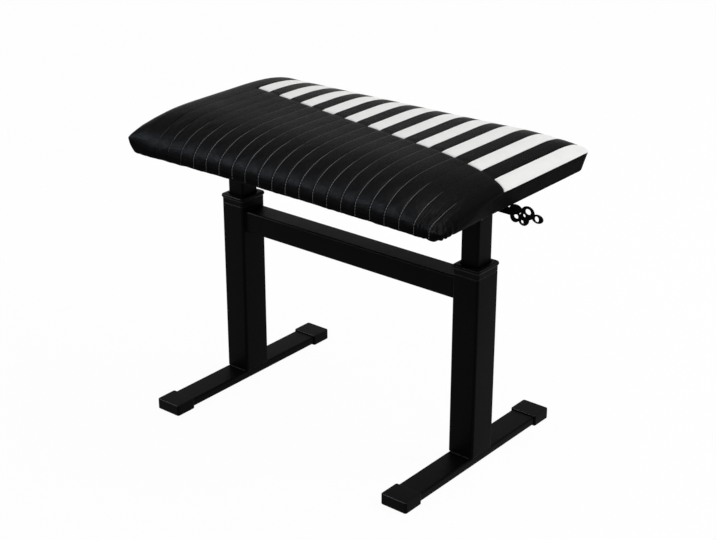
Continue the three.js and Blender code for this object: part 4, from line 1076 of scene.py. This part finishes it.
@dataclass
class Steelwork:
    """Base, columns and mechanism: the CAD nodes with their finishes, softened edges, weld beads and staples."""

    kit: ShaderKit
    nodes: dict[str, bpy.types.Object]
    sharp: float = math.radians(35.0)
    flat: float = math.radians(1.0)
    weld: float = 1e-6
    bevel_segments: int = 2
    bevel_profile: float = 0.5
    bead_radius: float = 0.0016
    bead_step: float = 0.0008
    bead_pitch: float = 0.0026
    bead_ripple: float = 0.16
    cast_voxel: float = 0.0003
    cast_passes: int = 9
    staple: tuple[float, float, float] = (0.0115, 0.0009, 0.0005)
    staple_inset: float = 0.006
    staple_pitch: float = 0.042
    staple_lift: float = 0.0001
    staple_tilt: tuple[float, float] = (0.12, 2.3)
    staple_round: float = 0.3
    finishes: dict[str, Finish] = field(
        default_factory=lambda: {
            "black_paint": BLACK_PAINT,
            "black_plastic": BLACK_PLASTIC,
            "black_vinyl": BLACK_VINYL,
            "white_vinyl": WHITE_VINYL,
            "plywood": PLYWOOD,
            "dust_cloth": DUST_CLOTH,
            "zinc_steel": ZINC,
            "chrome_steel": CHROME,
            "acetal": ACETAL,
        }
    )
    blackened: tuple[str, ...] = ("release_head_bolt_left", "release_head_bolt_right")
    base_rounding: dict[str, float] = field(
        default_factory=lambda: {"foot_tube": 0.0012, "foot_cap_front": 0.0012, "foot_cap_rear": 0.0012,
                                 "outer_column": 0.0012, "guide_collar": 0.0006}
    )
    beam_rounding: float = 0.0012
    inner_rounding: float = 0.001
    lever_rounding: float = 0.0005
    rounding: dict[str, tuple[float, Body]] = field(init=False)

    def __post_init__(self) -> None:
        """Lists the nodes whose edges are rounded, each with its radius and its body."""
        sides = ("left", "right")
        self.rounding = {f"{name}_{side}": (radius, Body.BASE)
                         for name, radius in self.base_rounding.items() for side in sides}
        self.rounding["cross_beam"] = (self.beam_rounding, Body.BASE)
        self.rounding |= {f"inner_column_{side}": (self.inner_rounding, Body.SEAT) for side in sides}
        self.rounding["release_lever"] = (self.lever_rounding, Body.HANDLE)

    def dress(self, record: dict) -> None:
        """Gives every CAD node the finish of its slot, and replaces those whose edges show.

        Args:
            record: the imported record.
        """
        for row in record["subparts"]:
            node = self.nodes[row["node"]]
            finish = BLACKENED if row["node"] in self.blackened else self.finishes[row["material_slot"]]
            node.data.materials.clear()
            node.data.materials.append(self.kit.material(finish))
            LOG.info("node %s in %s", row["node"], row["material_slot"])
            if row["node"] in self.rounding:
                self._soften(row["node"], finish)
        self._cast_handle()
        self._weld_beads()
        self._staples()

    def _merged(self, name: str) -> bmesh.types.BMesh:
        """A copy of a CAD node's mesh with its loose triangles joined."""
        bm = bmesh.new()
        bm.from_mesh(self.nodes[name].data)
        bmesh.ops.remove_doubles(bm, verts=bm.verts[:], dist=self.weld)
        return bm

    def _soften(self, name: str, finish: Finish) -> None:
        """Stands for a CAD node with a copy whose edges are rounded, the bevels in a lighter colour that is a
        painted highlight.

        Args:
            name: the node.
            finish: its finish.
        """
        radius, body = self.rounding[name]
        bm = self._merged(name)
        bmesh.ops.dissolve_limit(bm, angle_limit=self.flat, verts=bm.verts[:], edges=bm.edges[:])
        edges = [edge for edge in bm.edges if len(edge.link_faces) == 2 and edge.calc_face_angle() > self.sharp]
        made = bmesh.ops.bevel(bm, geom=edges, offset=radius, offset_type="OFFSET",
                               segments=self.bevel_segments, profile=self.bevel_profile,
                               affect="EDGES", clamp_overlap=True, material=-1)
        # The bevel faces take slot 1, which holds the painted edge highlight.
        for face in made["faces"]:
            face.material_index = 1
        bmesh.ops.remove_doubles(bm, verts=bm.verts[:], dist=self.weld)
        bmesh.ops.triangulate(bm, faces=[face for face in bm.faces if len(face.verts) > 4])
        piece = finished(f"rounded_{name}", bm, self.kit.material(finish))
        # Painted highlight: the rounded edges take a lighter copy of the finish.
        edge_highlight = PLASTIC_EDGE_HIGHLIGHT if finish is BLACK_PLASTIC else PAINT_EDGE_HIGHLIGHT
        piece.data.materials.append(self.kit.material(edge_highlight))
        evened = piece.modifiers.new("even faces", "WEIGHTED_NORMAL")
        evened.keep_sharp = True
        declared(piece, body, (name,))

    def _cast_handle(self) -> None:
        """Stands for the clef handle with a copy that has a casting's soft edges."""
        piece = finished("cast_clef_handle", self._merged("clef_handle"), self.kit.material(BLACK_PAINT))
        remesh = piece.modifiers.new("skin", "REMESH")
        remesh.mode = "VOXEL"
        remesh.voxel_size = self.cast_voxel
        soften = piece.modifiers.new("soften", "SMOOTH")
        soften.iterations = self.cast_passes
        for polygon in applied(piece).polygons:
            polygon.use_smooth = True
        declared(piece, Body.HANDLE, ("clef_handle",))

    def _bead(self, corners: list[Vector], closed: bool) -> bpy.types.Mesh:
        """One rippled weld bead along straight runs.

        Args:
            corners: the corners of its path.
            closed: whether it goes back to the first corner.

        Returns:
            Its mesh.
        """
        points = []
        for start, end in zip(corners, corners[1:] + corners[:1] if closed else corners[1:]):
            steps = max(2, round((end - start).length / self.bead_step))
            points += [start.lerp(end, step / steps) for step in range(steps)]
        if not closed:
            points.append(corners[-1])
        curve = bpy.data.curves.new("bead", "CURVE")
        curve.dimensions = "3D"
        curve.bevel_depth = self.bead_radius
        curve.bevel_resolution = 1
        curve.use_fill_caps = True
        spline = curve.splines.new("POLY")
        spline.points.add(len(points) - 1)
        spline.use_cyclic_u = closed
        for index, (spot, point) in enumerate(zip(spline.points, points)):
            spot.co = (*point, 1.0)
            phase = index * self.bead_step / self.bead_pitch * math.tau
            spot.radius = 1.0 + self.bead_ripple * math.sin(phase)
        return bpy.data.meshes.new_from_object(bpy.data.objects.new("bead", curve))

    def _weld_beads(self) -> None:
        """Beads round the beam's ends and at the front and rear of each column's foot."""
        beam_low, beam_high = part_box("cross_beam")
        bm = bmesh.new()
        for side in ("left", "right"):
            low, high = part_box(f"outer_column_{side}")
            x = high.x if side == "left" else low.x
            ring = [Vector((x, y, z)) for y, z in ((beam_low.y, beam_low.z), (beam_high.y, beam_low.z),
                                                   (beam_high.y, beam_high.z), (beam_low.y, beam_high.z))]
            bm.from_mesh(self._bead(ring, True))
            tube_low, tube_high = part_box(f"foot_tube_{side}")
            inset = 2.0 * self.bead_radius
            for y in (low.y, high.y):
                run = [Vector((tube_low.x + inset, y, tube_high.z)), Vector((tube_high.x - inset, y, tube_high.z))]
                bm.from_mesh(self._bead(run, False))
        piece = finished("weld_beads", bm, self.kit.material(BLACK_PAINT))
        declared(piece, Body.BASE)

    def _staples(self) -> None:
        """Staples along the edge of the dust cover."""
        low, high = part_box("dust_cover")
        width, depth = high.x - low.x - 2 * self.staple_inset, high.y - low.y - 2 * self.staple_inset
        middle = (low + high) / 2.0
        most, turns = self.staple_tilt
        bm = bmesh.new()
        for length, across, turn in ((width, depth, 0.0), (depth, width, math.pi / 2.0)):
            count = round(length / self.staple_pitch)
            for side in (-0.5, 0.5):
                for index in range(count):
                    along = ((index + 0.5) / count - 0.5) * length
                    spin = Matrix.Rotation(turn, 4, "Z")
                    place = Matrix.Translation((middle.x, middle.y, low.z + self.staple_lift)) @ spin
                    spot = Matrix.Translation((along, side * across, 0.0))
                    tilt = Matrix.Rotation(most * math.sin(index * turns + side), 4, "Z")
                    size = Matrix.Diagonal((*self.staple, 1.0))
                    made = bmesh.ops.create_cube(bm, size=1.0, matrix=place @ spot @ tilt @ size)
                    edges = list({edge for vert in made["verts"] for edge in vert.link_edges})
                    bmesh.ops.bevel(bm, geom=edges, offset=self.staple[2] * self.staple_round,
                                    offset_type="OFFSET", segments=1, profile=self.bevel_profile,
                                    affect="EDGES", material=-1)
        declared(finished("dust_cover_staples", bm, self.kit.material(ZINC)), Body.SEAT)


@dataclass
class Studio:
    """Pale floor, soft lamps, white surround and the photograph's camera."""

    eye: tuple[float, float, float] = (1.3321, -1.6355, 1.1510)
    target: tuple[float, float, float] = (0.00195, -0.00643, 0.2432)
    lens: float = 78.09
    sensor: float = 36.0
    sight: float = 100.0
    floor_size: float = 12.0
    floor_sides: int = 64
    floor_drop: float = 0.0005
    floor_white: float = 0.95
    floor_glow: float = 0.96
    surround: float = 0.72
    lamp_target: tuple[float, float, float] = (0.0, 0.0, 0.35)

    def camera(self) -> None:
        """Puts the camera where the photograph was taken from."""
        data = bpy.data.cameras.new("camera")
        data.lens = self.lens
        data.sensor_width = self.sensor
        data.sensor_fit = "HORIZONTAL"
        data.clip_end = self.sight
        camera = bpy.data.objects.new("camera", data)
        camera.location = self.eye
        aim = Vector(self.target) - Vector(self.eye)
        camera.rotation_euler = aim.to_track_quat("-Z", "Y").to_euler()
        bpy.context.scene.collection.objects.link(camera)
        bpy.context.scene.camera = camera

    @staticmethod
    def _seen(nodes: NodeTree) -> bpy.types.NodeSocket:
        """Whether a ray comes from the camera, a reflection or through glass."""
        path = nodes.add("LightPath")
        direct = nodes.math("MAXIMUM", path.outputs["Is Camera Ray"], path.outputs["Is Glossy Ray"])
        return nodes.math("MAXIMUM", direct, path.outputs["Is Transmission Ray"])

    @staticmethod
    def _mixed(nodes: NodeTree, share: bpy.types.NodeSocket, shaders: tuple[bpy.types.Node, bpy.types.Node],
               output: str) -> None:
        """Mixes two shaders by a share of the second one and sends the result to the output."""
        mix = nodes.add("MixShader")
        nodes.join(share, mix.inputs[0])
        for index, shader in enumerate(shaders):
            nodes.join(shader.outputs[0], mix.inputs[index + 1])
        nodes.join(mix.outputs[0], nodes.add(output).inputs["Surface"])

    def world(self) -> None:
        """White where it is seen, and a plain soft level where it lights."""
        world = bpy.data.worlds.new("surround")
        bpy.context.scene.world = world
        world.use_nodes = True
        nodes = NodeTree(world.node_tree)
        world.node_tree.nodes.clear()
        light, white = nodes.add("Background"), nodes.add("Background")
        for shader in (light, white):
            shader.inputs["Color"].default_value = WHITE
        light.inputs["Strength"].default_value = self.surround
        self._mixed(nodes, self._seen(nodes), (light, white), "OutputWorld")

    def floor(self) -> None:
        """A pale floor that keeps a soft shadow and glows white where it is seen, as the surround does."""
        bm = bmesh.new()
        bmesh.ops.create_circle(bm, cap_ends=True, segments=self.floor_sides, radius=self.floor_size / 2.0)
        material = bpy.data.materials.new("pale floor")
        material.use_nodes = True
        nodes = NodeTree(material.node_tree)
        material.node_tree.nodes.clear()
        matt = nodes.add("BsdfDiffuse")
        matt.inputs["Color"].default_value = (self.floor_white,) * 3 + (1.0,)
        glow = nodes.add("Emission")
        glow.inputs["Color"].default_value = WHITE
        share = nodes.math("MULTIPLY", self._seen(nodes), self.floor_glow)
        self._mixed(nodes, share, (matt, glow), "OutputMaterial")
        floor = finished("floor", bm, material)
        floor.location.z = -self.floor_drop

    def lamp(self, name: str, place: tuple[float, float, float], size: float, power: float,
             colour: tuple[float, float, float] = (1.0, 1.0, 1.0), sheen_only: bool = False) -> None:
        """Adds a square soft lamp aimed at the seat.

        Args:
            name: the lamp's name.
            place: where it stands.
            size: its side in metres.
            power: its power in watts.
            colour: its colour.
            sheen_only: whether it only shows as a reflection, and adds no light to matt surfaces.
        """
        data = bpy.data.lights.new(name, "AREA")
        data.size = size
        data.energy = power
        data.color = colour
        lamp = bpy.data.objects.new(name, data)
        lamp.location = place
        aim = Vector(self.lamp_target) - Vector(place)
        lamp.rotation_euler = aim.to_track_quat("-Z", "Y").to_euler()
        lamp.visible_diffuse = not sheen_only
        bpy.context.scene.collection.objects.link(lamp)

    def build(self) -> None:
        """Sets up camera, surround, floor and lamps."""
        bpy.context.scene.view_settings.view_transform = "Standard"
        self.camera()
        self.world()
        self.floor()
        self.lamp("key", (1.5, 1.1, 2.0), 1.0, 18.0)
        self.lamp("window", (-1.5, -1.5, 1.8), 1.1, 230.0, (0.8, 0.88, 1.0), sheen_only=True)
        self.lamp("overhead", (0.15, -0.1, 2.9), 1.5, 220.0, sheen_only=True)


def main() -> None:
    """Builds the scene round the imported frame."""
    logging.basicConfig(level=logging.INFO, format="%(name)s: %(message)s")
    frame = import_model()
    Studio().build()
    kit = ShaderKit()
    Steelwork(kit, frame["nodes"]).dress(frame["record"])
    Cushion(CushionForm.from_frame(), kit).build()


if __name__ == "__main__":
    main()
